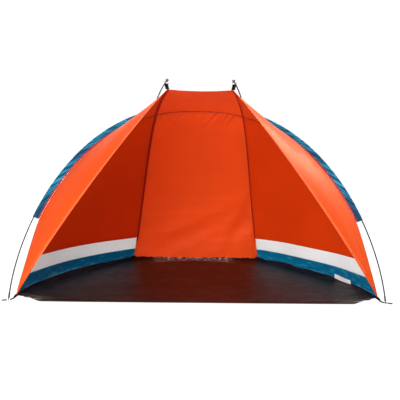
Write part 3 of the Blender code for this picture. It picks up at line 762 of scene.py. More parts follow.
def floor_material():
    """Black-brown woven floor with a glossy film on it, long paler streaks across it, and painted
    reflections: pale streaks along its turned-up rear edge and at its front corners.
    """
    nodes = Nodes("floor_cloth")
    broad = nodes.ramp(nodes.noise(3.0, 3.0), 0.35, 0.65)
    base = nodes.mix_colours(broad, linear(14, 11, 10), linear(24, 18, 16))
    # Long, paler streaks across the whole floor.
    paler_streaks = nodes.ramp(nodes.drawn_noise(3.0, 60.0, 4.0), 0.60, 0.80)
    base = nodes.mix_colours(paler_streaks * 0.35, base, linear(66, 60, 56))
    # The pale streaks on the turned-up edge under the back panel, and fainter ones at the front corners, are
    # painted reflections of the lamps on the floor's glossy film.
    across, along = nodes.cloth_lengths()
    from_middle = abs(across + 0.02)
    rear = nodes.ramp(along, 1.05, 1.10) * nodes.ramp(from_middle, 0.30, 0.22)
    reflection_streaks = nodes.ramp(nodes.drawn_noise(40.0, 90.0, 4.0), 0.50, 0.60)
    corner = nodes.ramp(from_middle, 0.70, 0.90) * nodes.ramp(along, 0.20, 0.10) * 0.3
    drawn = nodes.ramp(nodes.drawn_noise(6.0, 110.0, 4.0), 0.52, 0.62)
    pale = nodes.maths("MAXIMUM", rear * reflection_streaks, corner * drawn)
    place = nodes.place()
    bend = nodes.add("ShaderNodeTexNoise", {"Scale": 5.0, "Vector": place}, "Color")
    warped = nodes.add("ShaderNodeVectorMath", {0: place, 1: bend}, operation="ADD")
    crumples = nodes.add(
        "ShaderNodeTexVoronoi", {"Scale": 16.0, "Vector": warped}, "Distance", feature="DISTANCE_TO_EDGE"
    )
    height = nodes.noise(60.0, 5.0) + nodes.noise(9.0, 3.0) * 2.0
    height = height + nodes.ramp(crumples, 0.0, 0.16) * 0.8 + nodes.weave(FLOOR_WEAVE) * 0.15
    nodes.surface(
        # Painted reflection: the pale streaks at the rear edge and front corners.
        base_color=nodes.mix_colours(pale, base, linear(184, 184, 178)),
        roughness=nodes.noise(14.0, 5.0) * 0.25 + 0.28,
        normal=nodes.bump(height, 0.4, 0.0018),
        specular_ior_level=0.18,
    )
    return nodes.owner


def webbing_material():
    """Black webbing: rows of slanting ribs along it, frayed a little."""
    nodes = Nodes("black_webbing")
    along, across = nodes.cloth_lengths()
    rib = ((along + abs(across)) * (2 * math.pi * 500.0)).sine()
    column = (across * (2 * math.pi * 450.0)).sine()
    fuzz = nodes.ramp(nodes.noise(400.0, 3.0), 0.4, 0.7)
    nodes.surface(
        base_color=nodes.mix_colours(fuzz, linear(5, 5, 6), linear(14, 14, 16)),
        normal=nodes.bump(abs(rib) * abs(column), 0.6, 0.0006),
        roughness=0.85,
        specular_ior_level=0.08,
    )
    return nodes.owner


def grained_material(name, colour, roughness, metallic=0.0, gloss=0.5):
    """Moulded, drawn or plated stuff: a small grain, and a little unevenness in its gloss."""
    nodes = Nodes(name)
    fine = nodes.noise(300.0, 3.0)
    nodes.surface(
        base_color=nodes.uneven(40.0, colour, 0.92, 1.06),
        roughness=fine * 0.2 + (roughness - 0.1),
        normal=nodes.bump(fine, 0.3, 0.00005),
        metallic=metallic,
        specular_ior_level=gloss,
    )
    return nodes.owner


def make_materials():
    glow = linear(255, 96, 20)
    gold = linear(255, 204, 84)
    thread = linear(176, 44, 12)
    # The teal band's lighter crease colour, a painted highlight.
    sky = linear(60, 168, 205)
    return {
        "orange": cloth_material("orange_cloth", linear(230, 90, 31), glow, 0.28, 0.5, 0.04),
        # The side walls get a deeper, redder copy of the orange cloth that lets less light through: painted
        # shade of the walls' inside.
        "wall": cloth_material("shaded_wall_cloth", linear(216, 64, 6), linear(244, 54, 2), 0.20, 0.5, 0.03),
        "wing": cloth_material("wing_cloth", linear(216, 74, 24), glow, 0.22, 0.42, 0.04, 0.5, tint=gold),
        "white": cloth_material("white_cloth", linear(243, 243, 242), linear(236, 242, 242), 0.38, 0.6, 0.05),
        "teal": cloth_material(
            "teal_cloth", linear(0, 118, 156), linear(0, 130, 172), 0.3, 0.36, 0.02, 0.18, sky, 12.0
        ),
        # The sleeve's second, lighter colour is painted highlight on the crests of its gathers.
        "sleeve": sleeve_material("sleeve_cloth", linear(0, 54, 82), linear(30, 140, 174)),
        "hem": hem_material("orange_hem", linear(230, 92, 34), thread, (-0.0035, 0.0035)),
        # The wing hem's pale double row is real stitching drawn pale, as painted highlight along the hem's
        # folds.
        "wing_hem": hem_material(
            "wing_hem", linear(212, 70, 24), linear(250, 146, 88), (-0.0050, 0.0044), width=0.0010
        ),
        # The seam's deep maroon is partly the real layered seam allowance and partly painted shade of the
        # teal sleeve outside it, which keeps light from coming through.
        "seam": hem_material("orange_seam_painted_shade", linear(172, 16, 2), linear(120, 8, 2), (0.0,)),
        # The roof seam tape's darker red is partly the real seam and partly painted shade of the hoop sleeve
        # lying over it outside.
        "roof_seam": hem_material("roof_seam", linear(186, 36, 8), linear(140, 20, 6), (0.0,)),
        "floor": floor_material(),
        "floor_hem": hem_material("floor_hem", linear(40, 30, 28), linear(30, 22, 20), (-0.0025,)),
        "webbing": webbing_material(),
        "pole": grained_material("glass_fibre", linear(10, 13, 13), 0.55, gloss=0.12),
        "ferrule": grained_material("drawn_aluminium", linear(196, 198, 202), 0.32, 1.0),
        "tip": grained_material("tip_nylon", linear(44, 48, 48), 0.45, gloss=0.25),
        "steel": grained_material("nickel", linear(198, 196, 188), 0.26, 1.0),
        "knob": grained_material("knob_nylon", linear(64, 76, 62), 0.42),
        "cord": grained_material("shock_cord", linear(30, 30, 32), 0.8),
        "label": cloth_material("label_ribbon", linear(250, 253, 253), linear(250, 250, 248), 0.1, 0.5, 0.1),
    }


MATERIALS = make_materials()

# Folds of each panel: creases (turn, pitch, length, seed) times a height and where they lie


def edge_fade(u, v, near_u, near_v):
    """0 on a panel's edges, 1 farther in than near_u and near_v, which are shares."""
    across = smooth(0, near_u, u) * smooth(0, near_u, 1 - u)
    return across * smooth(0, near_v, v) * smooth(0, near_v, 1 - v)


def back_relief(u, v):
    width, tall = BACK_SIZE
    x, y = (u - 0.5) * width, v * tall
    gathers = creases(x, y, 42, 0.020, 0.14, 3) * 0.007 * np.exp(-(1 - v) * tall / 0.05)
    soft = creases(x, y, 28, 0.10, 0.45, 5) * 0.009 * smooth(0.75, 0.1, v)
    steep = creases(x, y, 62, 0.08, 0.35, 8) * 0.008 * smooth(0.7, 0.25, v) * smooth(0.4, 0.8, u)
    level = creases(x, y, 3, 0.035, 0.20, 9) * 0.0014
    hem = creases(x, y, 88, 0.03, 0.10, 12) * 0.006 * np.exp(-v * tall / 0.05)
    return (gathers + soft + steep + level + hem) * edge_fade(u, v, 0.05, 0.012)


def roof_relief(u, v):
    width, tall = ROOF_SIZE
    x, y = (u - 0.5) * width, v * tall
    soft = creases(x, y, 10, 0.08, 0.3, 15) * 0.003
    gathers = creases(x, y, 92, 0.016, 0.06, 17) * 0.002 * np.exp(-v * tall / 0.03)
    return (soft + gathers) * edge_fade(u, v, 0.06, 0.03)


def wall_relief(u, v, side):
    x, y = u * WALL_SIZE[0], v * WALL_SIZE[1]
    seed = 40 + side
    soft = creases(x, y, 40, 0.20, 0.6, seed) * 0.006
    level = creases(x, y, 2, 0.022, 0.10, seed + 2) * 0.0018 * np.exp(-u / 0.06) * smooth(0.3, 0.6, v)
    crumpled = creases(x, y, 25, 0.030, 0.10, seed + 4) * 0.0075 * smooth(TEAL_TOP, 0.02, v)
    pleats = creases(x, y, 80, 0.030, 0.08, seed + 6) * 0.005 * smooth(0.05, 0.0, v)
    at_foot = (crumpled + pleats) * smooth(0, 0.02, u) * smooth(0, 0.02, 1 - u)
    return (soft + level) * edge_fade(u, v, 0.05, 0.03) + at_foot


def wing_relief(u, v, side):
    x, y = u * WING_SIZE[0], v * WING_SIZE[1]
    seed = 60 + side
    drawn = creases(x, y, 88, 0.02, 0.35, seed) * 0.003 * smooth(0.35, 0.0, v) * smooth(0.0, 0.04, v)
    soft = creases(x, y, 75, 0.10, 0.5, seed + 2) * 0.003
    puckers = creases(x, y, 15, 0.012, 0.05, seed + 4) * 0.0014 * np.exp(-(1 - u) * WING_SIZE[0] / 0.03)
    crown = 0.007 * smooth(0.0, 0.4, u) * (1 - np.exp(-(1 - u) * 0.30 / 0.020))
    crown = crown * smooth(0.03, 0.25, v) * smooth(1.0, 0.8, v)
    return (drawn + soft + puckers) * edge_fade(u, v, 0.05, 0.03) - crown


# Canopy


def all_panels():
    panels = {"back": Panel(back_panel, back_relief), "roof": Panel(roof_panel, roof_relief)}
    for side, word in SIDES:
        for kind, surface, relief, inside in (
            ("wall", side_wall, wall_relief, side),
            ("wing", wing, wing_relief, -side),
        ):
            panels[f"{kind}_{word}"] = Panel(
                lambda u, v, surface=surface, side=side: surface(u, v, side),
                lambda u, v, relief=relief, side=side: relief(u, v, side),
                inside,
            )
    return panels


def hem_outline(width=HEM_WIDTH):
    """A hem folded round the cloth's edge: pairs of a distance from the edge and a height."""
    half = HEM_THICKNESS / 2
    front = [(width, 0.6 * half), (width - 0.0004, half), (width / 2, half), (0.0006, half)]
    nose = (0.0001, 0.5 * half)
    return front + [nose, (0.0, 0.0)] + [(d, -h) for d, h in [nose, *front[::-1]]]


def tape_outline(start, end, height):
    """A tape on the inside of the cloth, between two distances from the edge."""
    low, edge, middle = FABRIC / 2 - 0.0001, 0.0004, (start + end) / 2
    top = [(start, low), (start + edge, height), (middle, height), (end - edge, height), (end, low)]
    return top + [(middle, low)]


def add_trim(name, panel, edge, share, outline, material, widen=1.0):
    """A hem or tape that follows a panel's edge."""
    loops = panel.near_edge(edge, share, outline, widen)
    across = np.array([pair[0] for pair in outline])
    across = across - (across.min() + across.max()) / 2
    piece = add_loops(name, loops, material, across=across)
    return piece


def add_panels(panels):
    back_foot = FLOOR_RISE / BACK_SIZE[1]
    back_grid = np.meshgrid(shares(BACK_SIZE[0]), shares(BACK_EDGE, BACK_CELL, back_foot))
    back = add_cloth("back_cloth", panels["back"], back_grid, "orange", "back_panel")
    roof_grid = np.meshgrid(shares(ROOF_WIDE_EDGE), shares(ROOF_SIZE[1]))
    roof = add_cloth("roof_cloth", panels["roof"], roof_grid, "orange", "roof_panel")
    along = shares(ROOF_WIDE_EDGE, TRIM_CELL)
    roof_tape, foot_tape = tape_outline(0.0, 0.012, 0.0020), tape_outline(0.013, 0.021, 0.0012)
    roof_trims = [
        add_trim("roof_hem", panels["roof"], "high", along, hem_outline(), "hem"),
        add_trim("roof_seam_tape", panels["roof"], "low", along, roof_tape, "roof_seam"),
    ]
    back_trims = [add_trim("back_foot_hem", panels["back"], "low", along, foot_tape, "hem")]
    rise, forward = shares(BACK_EDGE, TRIM_CELL, back_foot), shares(ROOF_EDGE, TRIM_CELL)
    outline = tape_outline(-0.0005, 0.0125, 0.0030)
    for side, word in SIDES:
        # The left tape is drawn wider and the right narrower, so that its maroon stands for the wider band of
        # shade beside the left seam: painted shade.
        widen = 1 + smooth(0.25, 1.0, rise) * 0.3 if side < 0 else np.full(len(rise), 0.6)
        # Below the sleeve outside, light comes through the seam, so that stretch takes the orange hem; above
        # it the maroon tape is painted shade of the sleeve.
        for name, low, high, material in (("foot", 0, 16, "hem"), ("tape", 15, len(rise), "seam")):
            piece = f"back_seam_{name}_{word}"
            rows = slice(low, high)
            trim = add_trim(piece, panels["back"], word, rise[rows], outline, material, widen[rows])
            back_trims.append(trim)
        # The rib seam tape too is drawn wider on the left, as painted shade.
        ease = (1.3 if side < 0 else 0.6) * (1 - 0.35 * forward)
        trim = add_trim(f"rib_seam_tape_{word}", panels["roof"], word, forward, outline, "seam", ease)
        roof_trims.append(trim)
    declare_sheet(back)
    declare_sheet(roof)
    for _, word in SIDES:
        add_wall(word, panels[f"wall_{word}"])
        add_wing(word, panels[f"wing_{word}"])


def foot_share(u):
    """The share of a wall's height at which its foot seam runs. It falls towards the front corner."""
    return FLOOR_RISE * (1 - FOOT_FALL * smooth(FOOT_FALLS_FROM, 1.0, u))


def add_wall(word, panel):
    """A side wall of three strips, with a tape on the hoop seam of the upper one."""
    along, tape = shares(WALL_EDGE, TRIM_CELL, WHITE_TOP, TAPE_TOP), tape_outline(0.0, 0.008, 0.0016)
    seam = add_trim(f"hoop_seam_tape_{word}", panel, "right", along, tape, "seam")
    strips = (
        ("teal_band", FLOOR_RISE, TEAL_TOP, "teal", "teal_fabric", 0.0035, []),
        ("white_band", TEAL_TOP, WHITE_TOP, "white", "white_fabric", 0.005, []),
        ("side_wall", WHITE_TOP, 1.0, "wall", "orange_fabric", CELL, [seam]),
    )
    for node, low, high, colour, slot, cell, trims in strips:
        rows = shares((high - low) * WALL_SIZE[1], cell, low, high)
        u, v = np.meshgrid(shares(WALL_SIZE[0]), rows)
        if low == FLOOR_RISE:
            v = v - (FLOOR_RISE - foot_share(u)) * (TEAL_TOP - v) / (TEAL_TOP - FLOOR_RISE)
        name = f"{node}_{word}"
        strip = add_cloth(f"{name}_cloth", panel, (u, v), colour, name)
        declare_sheet(strip)


def add_wing(word, panel):
    grid = np.meshgrid(shares(WING_SIZE[0]), shares(WING_EDGE, CELL, WING_FOOT))
    cloth = add_cloth(f"wing_{word}_cloth", panel, grid, "wing", f"wing_{word}")
    along = shares(WING_EDGE, TRIM_CELL, *WING_HEM_SPAN)
    hem = add_trim(f"wing_hem_{word}", panel, "left", along, hem_outline(WING_HEM_WIDTH), "wing_hem")
    declare_sheet(cloth)


# Floor


def floor_outline(side):
    """The floor's side, from the front edge round the corner to the rear, raised along the wall."""
    share = np.linspace(0, 1, 400)
    wall = side_wall(share, foot_share(share), side)[::-1]
    front = np.array([[side * FLOOR_FRONT_HALF_WIDTH, FOOT_LINE_Y + FLOOR_FRONT_Y, 0.0]])
    return np.concatenate([front, wall])


def floor_surface(u, v):
    """u from left to right, v from the front edge to the rear one."""
    left, right = floor_outline(-1), floor_outline(1)
    y = right[0, 1] + (right[-1, 1] - right[0, 1]) * v
    edges = [
        np.stack([np.interp(y, side[:, 1], side[:, 0]), y, np.interp(y, side[:, 1], side[:, 2])], axis=-1)
        for side in (left, right)
    ]
    points = lerp(edges[0], edges[1], u)
    half, rise = edges[1][..., 0], edges[1][..., 2]
    from_side = np.maximum(1 - np.abs(2 * u - 1), 0) * half
    from_rear = np.maximum(right[-1, 1] - y, 0)
    # The side slopes up over a longer way towards the lifted front corner.
    share = np.clip((FOOT_LINE_Y + LONG_SLOPE_FROM - y) / LONG_SLOPE_FROM, 0, 1)
    slope = SIDE_SLOPE + (CORNER_SLOPE - SIDE_SLOPE) * share**3
    side_lift = (rise - FLOOR_TOP) * np.exp(-((from_side / slope) ** TURN_UP_POWER))
    rear_lift = (FLOOR_RISE - FLOOR_TOP) * np.exp(-((from_rear / TURN_UP) ** TURN_UP_POWER))
    points[..., 2] = FLOOR_TOP + np.maximum(np.maximum(side_lift, rear_lift), 0)
    return points


def floor_relief(u, v):
    x, y = (u - 0.5) * FLOOR_SIZE[0], v * FLOOR_SIZE[1]
    from_side = 1 - np.abs(2 * u - 1)
    soft = 0.0022 * (1 + creases(x, y, 8, 0.16, 0.7, 81)) + 0.0012 * (1 + creases(x, y, 70, 0.3, 0.5, 83))
    pleats = 0.009 * np.abs(creases(x, y, 90, 0.035, 0.2, 85)) * smooth(0.12, 0.0, from_side)
    pleats = pleats * smooth(0.02, 0.20, v)
    rear = 0.007 * np.abs(creases(x, y, 60, 0.02, 0.03, 87)) * smooth(0.92, 1.0, v)
    corner = smooth(0.55, 1.0, np.abs(2 * u - 1)) * smooth(0.22, 0.05, v)
    drawn = 0.010 * np.abs(creases(x, y, 0, 0.014, 0.35, 89)) * corner
    return (soft + pleats + rear + drawn) * (0.25 + 0.75 * smooth(0.0, 0.03, v))


def add_floor():
    panel = Panel(floor_surface, floor_relief)
    grid = np.meshgrid(shares(FLOOR_SIZE[0], FLOOR_CELL), shares(FLOOR_SIZE[1]))
    cloth = add_cloth("floor_cloth", panel, grid, "floor", "groundsheet", FLOOR_FABRIC)
    outline = [(d, h + FLOOR_FABRIC / 2) for d, h in hem_outline(FLOOR_HEM_WIDTH)]
    along = shares(FLOOR_EDGE, TRIM_CELL)
    hem = add_trim("floor_hem", panel, "low", along, outline, "floor_hem")
    declare_sheet(cloth)


# Sleeves


def sleeve_loops(axis, seam, cross=16):
    """A fabric tube drawn flat from the pole to the seam.

    Gives its points, each column's share of the way out and the side it faces, and the sideways directions.
    """
    along = tangents(axis)
    inward = seam - axis
    inward -= along * np.sum(inward * along, axis=1, keepdims=True)
    depth = np.linalg.norm(inward, axis=1, keepdims=True)
    inward /= depth
    sideways = np.cross(along, inward)
    radius = SLEEVE_RADIUS

    def flat(share, facing):
        half = radius * (1 - share) + FABRIC * share
        point = axis + inward * (depth - SLEEVE_SEAM_GAP) * share + sideways * half * facing
        return point, 1 - share, facing

    def turned(turn):
        point = axis + inward * radius * math.cos(turn) + sideways * radius * math.sin(turn)
        return point, 1.0, math.sin(turn)

    ease = (0.5 - 0.5 * np.cos(np.linspace(0, math.pi, cross)))[1:]
    columns = [flat(share, 1.0) for share in ease[::-1]]
    columns += [turned(turn) for turn in arc(90, 270, 9)]
    columns += [flat(share, -1.0) for share in ease]
    points, outward, facing = zip(*columns)
    return np.stack(points, axis=1), np.array(outward), np.array(facing), sideways


def add_sleeve(node, axis, seam, crest):
    """A gathered sleeve, open at both ends. crest is the distance of its highest point."""
    points, outward, facing, sideways = sleeve_loops(axis, seam)
    run = distances(axis)
    down = np.abs(run - crest)[:, None]
    span = np.linalg.norm(seam - axis, axis=1).mean()
    slanted = down - outward * span * GATHER_SLANT
    broad = np.abs(soft_noise(slanted / GATHER_PITCH + 7, 0 * slanted + outward * 0.8 + 3, 31))
    fine = np.abs(soft_noise(slanted / (GATHER_PITCH * 0.4) + 3, outward * 1.5 + down * 7, 33))
    folds = 1 - 1.6 * broad - 0.8 * fine
    middle = smooth(0.0, 0.3, outward) * smooth(1.25, 0.85, outward)
    points = points + sideways[:, None] * (facing * GATHER_DEPTH * middle * folds)[..., None]
    rows, columns = points.shape[:2]
    across = distances(points[rows // 2])
    uv = pairs(run[:, None], across)
    piece = add_piece(f"{node}_cloth", points, grid_faces(rows, columns), "sleeve", uv)
    add_lengths(piece.data, "gathers", pairs(slanted, across))
    thicken(piece, FABRIC)
    dress(piece, node)


def hoop_lines():
    """The hoop's axis from foot to foot, with the seam point beside each point."""
    angles = np.linspace(0, math.pi, 2881)
    return hoop_point(angles), seam_point(angles)


def rib_lines(side):
    steps = np.linspace(0, 1, 1201)
    return rib_axis(steps, side), rib_seam(steps, side)


def add_piping(line, seam, ends):
    """A cord of folded cloth in the hoop seam, in front of the sleeve's edge."""
    axis, beside = stretch(line, seam, ends, distances(line)[-1] - ends, TUBE_STEP)
    inward = unit(beside - axis)
    forward = np.cross(tangents(axis), inward)
    forward *= -np.sign(forward[:, 1:2])
    core = beside - inward * PIPING_RADIUS * PIPING_OFFSET + forward * PIPING_RADIUS * PIPING_OFFSET
    loops = sweep(core, circle(PIPING_RADIUS, 10), forward)
    # Its maroon is painted shade in the valley at the sleeve's edge.
    add_loops("hoop_seam_piping", loops, "seam")


def add_sleeves():
    line, seam = hoop_lines()
    total = distances(line)[-1]
    start = BARE_HEIGHT + 0.008 + POLE_START
    add_piping(line, seam, start)
    axis, beside = stretch(line, seam, start, total - start, SLEEVE_CELL)
    add_sleeve("hoop_sleeve", axis, beside, total / 2 - start)
    start, end = (POLE_START + d for d in RIB_SLEEVE)
    for side, word in SIDES:
        axis, beside = stretch(*rib_lines(side), start, end, SLEEVE_CELL)
        add_sleeve(f"rib_sleeve_{word}", axis, beside, end - start)


# Poles


def add_pole(name, line, end_cut, sections, reference):
    whole = walk(line, POLE_START, distances(line)[-1] - end_cut, ROUTE_STEP)
    each = distances(whole)[-1] / sections
    for i in range(sections):
        part = walk(whole, i * each + SECTION_GAP, (i + 1) * each - SECTION_GAP, TUBE_STEP)
        node = f"{name}_section_{i + 1}"
        dress(add_tube(f"{node}_tube", part, POLE_RADIUS, POLE_BORE, reference, "pole"), node)
    for i in range(1, sections):
        low, high = i * each - FERRULE_HALF_LENGTH, i * each + FERRULE_HALF_LENGTH
        part = walk(whole, low, high, FERRULE_STEP)
        node = f"{name}_ferrule_{i}"
        tube = add_tube(f"{node}_tube", part, FERRULE_RADIUS, FERRULE_BORE, reference, "ferrule", 24)
        dress(tube, node)
    return whole


def add_poles():
    normal = np.cross([1, 0, 0], [0, math.sin(HOOP_LEAN), math.cos(HOOP_LEAN)])
    routes = {"hoop": add_pole("hoop", hoop_lines()[0], POLE_START, HOOP_SECTIONS, normal)}
    for side, word in SIDES:
        line = rib_lines(side)[0]
        routes[word] = add_pole(f"rib_{word}", line, KNOB_RADIUS, RIB_SECTIONS, [1, 0, 0])
    for name in ("hoop", "rib_left", "rib_right"):
        cord = frame["nodes"][f"{name}_shock_cord"].data
        cord.materials.clear()
        cord.materials.append(MATERIALS["cord"])
    return routes


# Corner and ear hardware. A profile is pairs of a radius and a height.


def add_foot_tip(name, foot, above):
    """A cup on the pole's lower end, with a rolled lip, a flange and a pin that stands in the eyelet."""
    pin = [(0.0002, 0.0018), (PIN_RADIUS * 0.7, 0.0022), (PIN_RADIUS, 0.0032), (PIN_RADIUS, 0.0118)]
    flange = [(0.0050, 0.0123), (0.0055, 0.0127), (0.0055, 0.0148), (0.0050, 0.0156)]
    cup = [(0.0048, 0.0170), (0.0048, 0.0385)]
    lip = [(0.0050, 0.0392), (0.0050, 0.0400), (0.0046, 0.0404), (0.0039, 0.0400)]
    profile = pin + flange + cup + lip + [(0.0039, POLE_START - SECTION_GAP)]
    tip = add_turned(f"{name}_turned", profile, foot, above - foot, "tip")
    dress(tip, name)


def eased_path(points, step=0.0015):
    """A smooth line near the given points, evenly spaced."""
    line = np.array(points, float)
    for _ in range(3):
        quarter = line[:-1] * 0.75 + line[1:] * 0.25
        three = line[:-1] * 0.25 + line[1:] * 0.75
        inner = np.stack([quarter, three], axis=1).reshape(-1, 3)
        line = np.concatenate([line[:1], inner, line[-1:]])
    return walk(line, 0, distances(line)[-1], step)


def add_webbing(name, path, across, width, thickness, tilt=0.0, flat_from=0.0):
    """A strip of webbing along a path. across is its crosswise direction.

    The strip starts tilted towards the front and lies flat from a distance along its path.
    """
    line = eased_path(path)
    along = tangents(line)
    side = unit(across - along * (along @ across)[:, None])
    up = np.cross(along, side)
    if flat_from:
        turn = tilt * smooth(flat_from, 0.0, distances(line))[:, None]
        side, up = side * np.cos(turn) + up * np.sin(turn), up * np.cos(turn) - side * np.sin(turn)
    outline = strip_outline(width, thickness)
    loops = line[:, None] + side[:, None] * outline[:, :1] + up[:, None] * outline[:, 1:]
    return add_loops(name, loops, "webbing", across=outline[:, 0])


def cut_hole(piece, centre, radius):
    """Cuts an upright round hole through a piece and keeps the result as its mesh."""
    ring = np.pad(circle(radius, 32), ((0, 0), (0, 1)))
    loops = np.array([centre + ring + [0, 0, z] for z in (-0.01, 0.01)])
    cutter = add_loops(f"{piece.name}_cutter", loops, "webbing")
    cut = piece.modifiers.new("hole", "BOOLEAN")
    cut.operation = "DIFFERENCE"
    cut.object = cutter
    graph = bpy.context.evaluated_depsgraph_get()
    mesh = bpy.data.meshes.new_from_object(piece.evaluated_get(graph))
    piece.modifiers.clear()
    piece.data = mesh
    bpy.data.objects.remove(cutter)


def add_corner(word, corner):
    """Strap, eyelet and peg loop outside a corner of the canopy."""
    eye = np.array(centre_of(f"eyelet_{word}"))
    hinge = np.array(next(j["pos_m"] for j in frame["joints"] if j["child"] == f"peg_loop_{word}"))
    away = unit((hinge - eye) * [1, 1, 0])
    across = np.cross([0, 0, 1], away)
    reach = (eye - corner) @ away
    lift = corner[2]
    start = np.array([corner[0], corner[1], 0])
    # Distances from the corner, with the strap's height at each
    heights = [
        (-0.016, lift + 0.016),
        (-0.004, lift + 0.009),
        (0.006, lift + 0.001),
        (max(0.010, reach - 0.030), STRAP_Z + (lift - STRAP_Z) * 0.45),
        (reach - 0.016, STRAP_Z + 0.0012),
        (reach - 0.0105, STRAP_Z),
        ((hinge - start) @ away - LOOP_GAP, STRAP_Z),
    ]
    path = [start + away * r + [0, 0, z] for r, z in heights]
    # across x away is up; the front edge is the lower one, on whichever side it lies.
    tilt = STRAP_TILT * np.sign(across[1])
    name = f"strap_{word}_webbing"
    strap = add_webbing(name, path, across, WEBBING, STRAP_THICKNESS, tilt, reach * TILT_REACH)
    cut_hole(strap, np.array([eye[0], eye[1], STRAP_Z]), STRAP_HOLE)
    dress(strap, f"strap_{word}")
    barb = [(0.0044, -0.0014), (0.0047, -0.0017), (0.0080, -0.0017), (0.0085, -0.0013), (0.0084, -0.0010)]
    neck = [(0.0052, -0.0008), (0.0052, 0.0008)]
    face = [(0.0084, 0.0010), (0.0085, 0.0013), (0.0078, 0.0016), (0.0064, 0.00175), (0.0050, 0.0017)]
    profile = barb + neck + face + [(0.0045, 0.0013)]
    name = f"eyelet_{word}_ring"
    eyelet = add_turned(name, profile, eye, [0, 0, 1], "steel", sides=36, joined_ends=True)
    dress(eyelet, f"eyelet_{word}")
    add_peg_loop(word, hinge, away, across)


def add_peg_loop(word, hinge, away, across):
    """A doubled tail of webbing, sewn with a slot for the peg."""

    def ring(half, near, far):
        """Evenly spaced points round a strip with a round nose."""
        nose = arc_points(far - half, 0, half, -90, 90, 15)
        closed = np.array([(near, -half), *nose, (near, half), (near, -half)])
        run = distances(closed)
        return points_at(closed, run, np.linspace(0, run[-1], steps, endpoint=False))

    steps = 64
    outer = ring(WEBBING / 2, 0.0004, LOOP_LENGTH)
    inner = ring(WEBBING / 2 - LOOP_BAND, LOOP_BAND, LOOP_LENGTH - LOOP_BAND)
    # Shares of the way from the outline to the slot, with heights in half thicknesses
    section = [(0.0, -0.6), (0.03, -1.0), (0.5, -1.0), (0.97, -1.0), (1.0, -0.6)]
    section += [(share, -height) for share, height in section[::-1]]
    loops = []
    for share, height in section:
        flat = outer * (1 - share) + inner * share
        loops.append(hinge + away * flat[:, :1] + across * flat[:, 1:] + [0, 0, LOOP_HALF_THICKNESS * height])
    bands = np.array([share * LOOP_BAND for share, _ in section])
    uv = pairs(np.linspace(0, 0.09, steps), bands[:, None])
    faces = grid_faces(len(section), steps, True, True)
    node = f"peg_loop_{word}"
    piece = add_piece(f"{node}_webbing", np.array(loops), faces, "webbing", uv, node)
    piece.data.set_sharp_from_angle(angle=SHARP_ANGLE)
    dress(piece, node)


def foot_of(line):
    """Where a pole's lowest stretch meets the ground, and the place above it where the tube starts."""
    above, beyond = line[0], line[6]
    axis = above - beyond
    return above - axis * (above[2] / axis[2]), above


def add_corners(routes):
    for side, word in SIDES:
        hoop = routes["hoop"] if side > 0 else routes["hoop"][::-1]
        add_foot_tip(f"hoop_tip_{word}", *foot_of(hoop))
        add_foot_tip(f"rib_tip_{word}", *foot_of(routes[word]))
        add_corner(f"front_{word}", hoop_seam(0.0, side))
        add_corner(f"rear_{word}", mirrored(REAR_CORNER, side) + [0, 0, REAR_STRAP_LIFT])


def add_ear(side, word, route):
    """The rib pole's end knob, and the D-ring and folded webbing tab that hook over it."""
    centre = rib_axis(np.array([1.0]), side)[0]
    along = unit(route[-1] - route[-8])
    neck = [(0.0039, -0.0165), (0.0047, -0.0167), (0.0050, -0.0160), (0.0050, -0.0085)]
    ball = arc_points(0, 0, KNOB_RADIUS, -58, 90, 16)[:-1]
    profile = [(0.0039, -KNOB_RADIUS + SECTION_GAP), *neck, *ball, (0.0002, KNOB_RADIUS)]
    knob = add_turned(f"ear_knob_{word}_turned", profile, centre, along, "knob")
    dress(knob, f"ear_knob_{word}")

    hang = centre - along * RING_BACK
    up = unit(np.cross([1, 0, 0], along))
    up = up * np.sign(up[2])
    across = unit(np.cross(along, up))
    half, bend, low = RING_HALF_WIDTH, RING_BEND, RING_BAR + RING_BEND
    path = arc_points(0, RING_TOP - half, half, 0, 180, 19)
    path += arc_points(-half + bend, low, bend, 180, 270, 5)
    path += arc_points(half - bend, low, bend, 270, 360, 5)
    line = np.array([hang + across * p + up * q for p, q in path])
    loops = sweep(line, circle(RING_WIRE, 12), along, joined_ends=True)
    ring = add_loops(f"ear_ring_{word}_wire", loops, "steel", joined_ends=True)
    dress(ring, f"ear_ring_{word}")

    bar = hang + up * RING_BAR
    down = unit(mirrored(EAR, side) - bar)
    front = unit(np.cross(down, across))
    fold = RING_WIRE + 0.0009
    foot = mirrored(EAR, side) - down * 0.0005
    # The tab runs up one layer, over the ring's bar and down the other layer.
    neck, waist = bar + down * 0.006, front * (fold * 0.75)
    path = [foot + front * 0.0007, neck + waist]
    path += [bar + front * fold * math.cos(a) - down * fold * math.sin(a) for a in arc(0, 180, 13)]
    path += [neck - waist, foot - front * 0.0007]
    tab = add_webbing(f"ear_tab_{word}_webbing", path, across, TAB_WIDTH, TAB_THICKNESS)
    dress(tab, f"ear_tab_{word}")


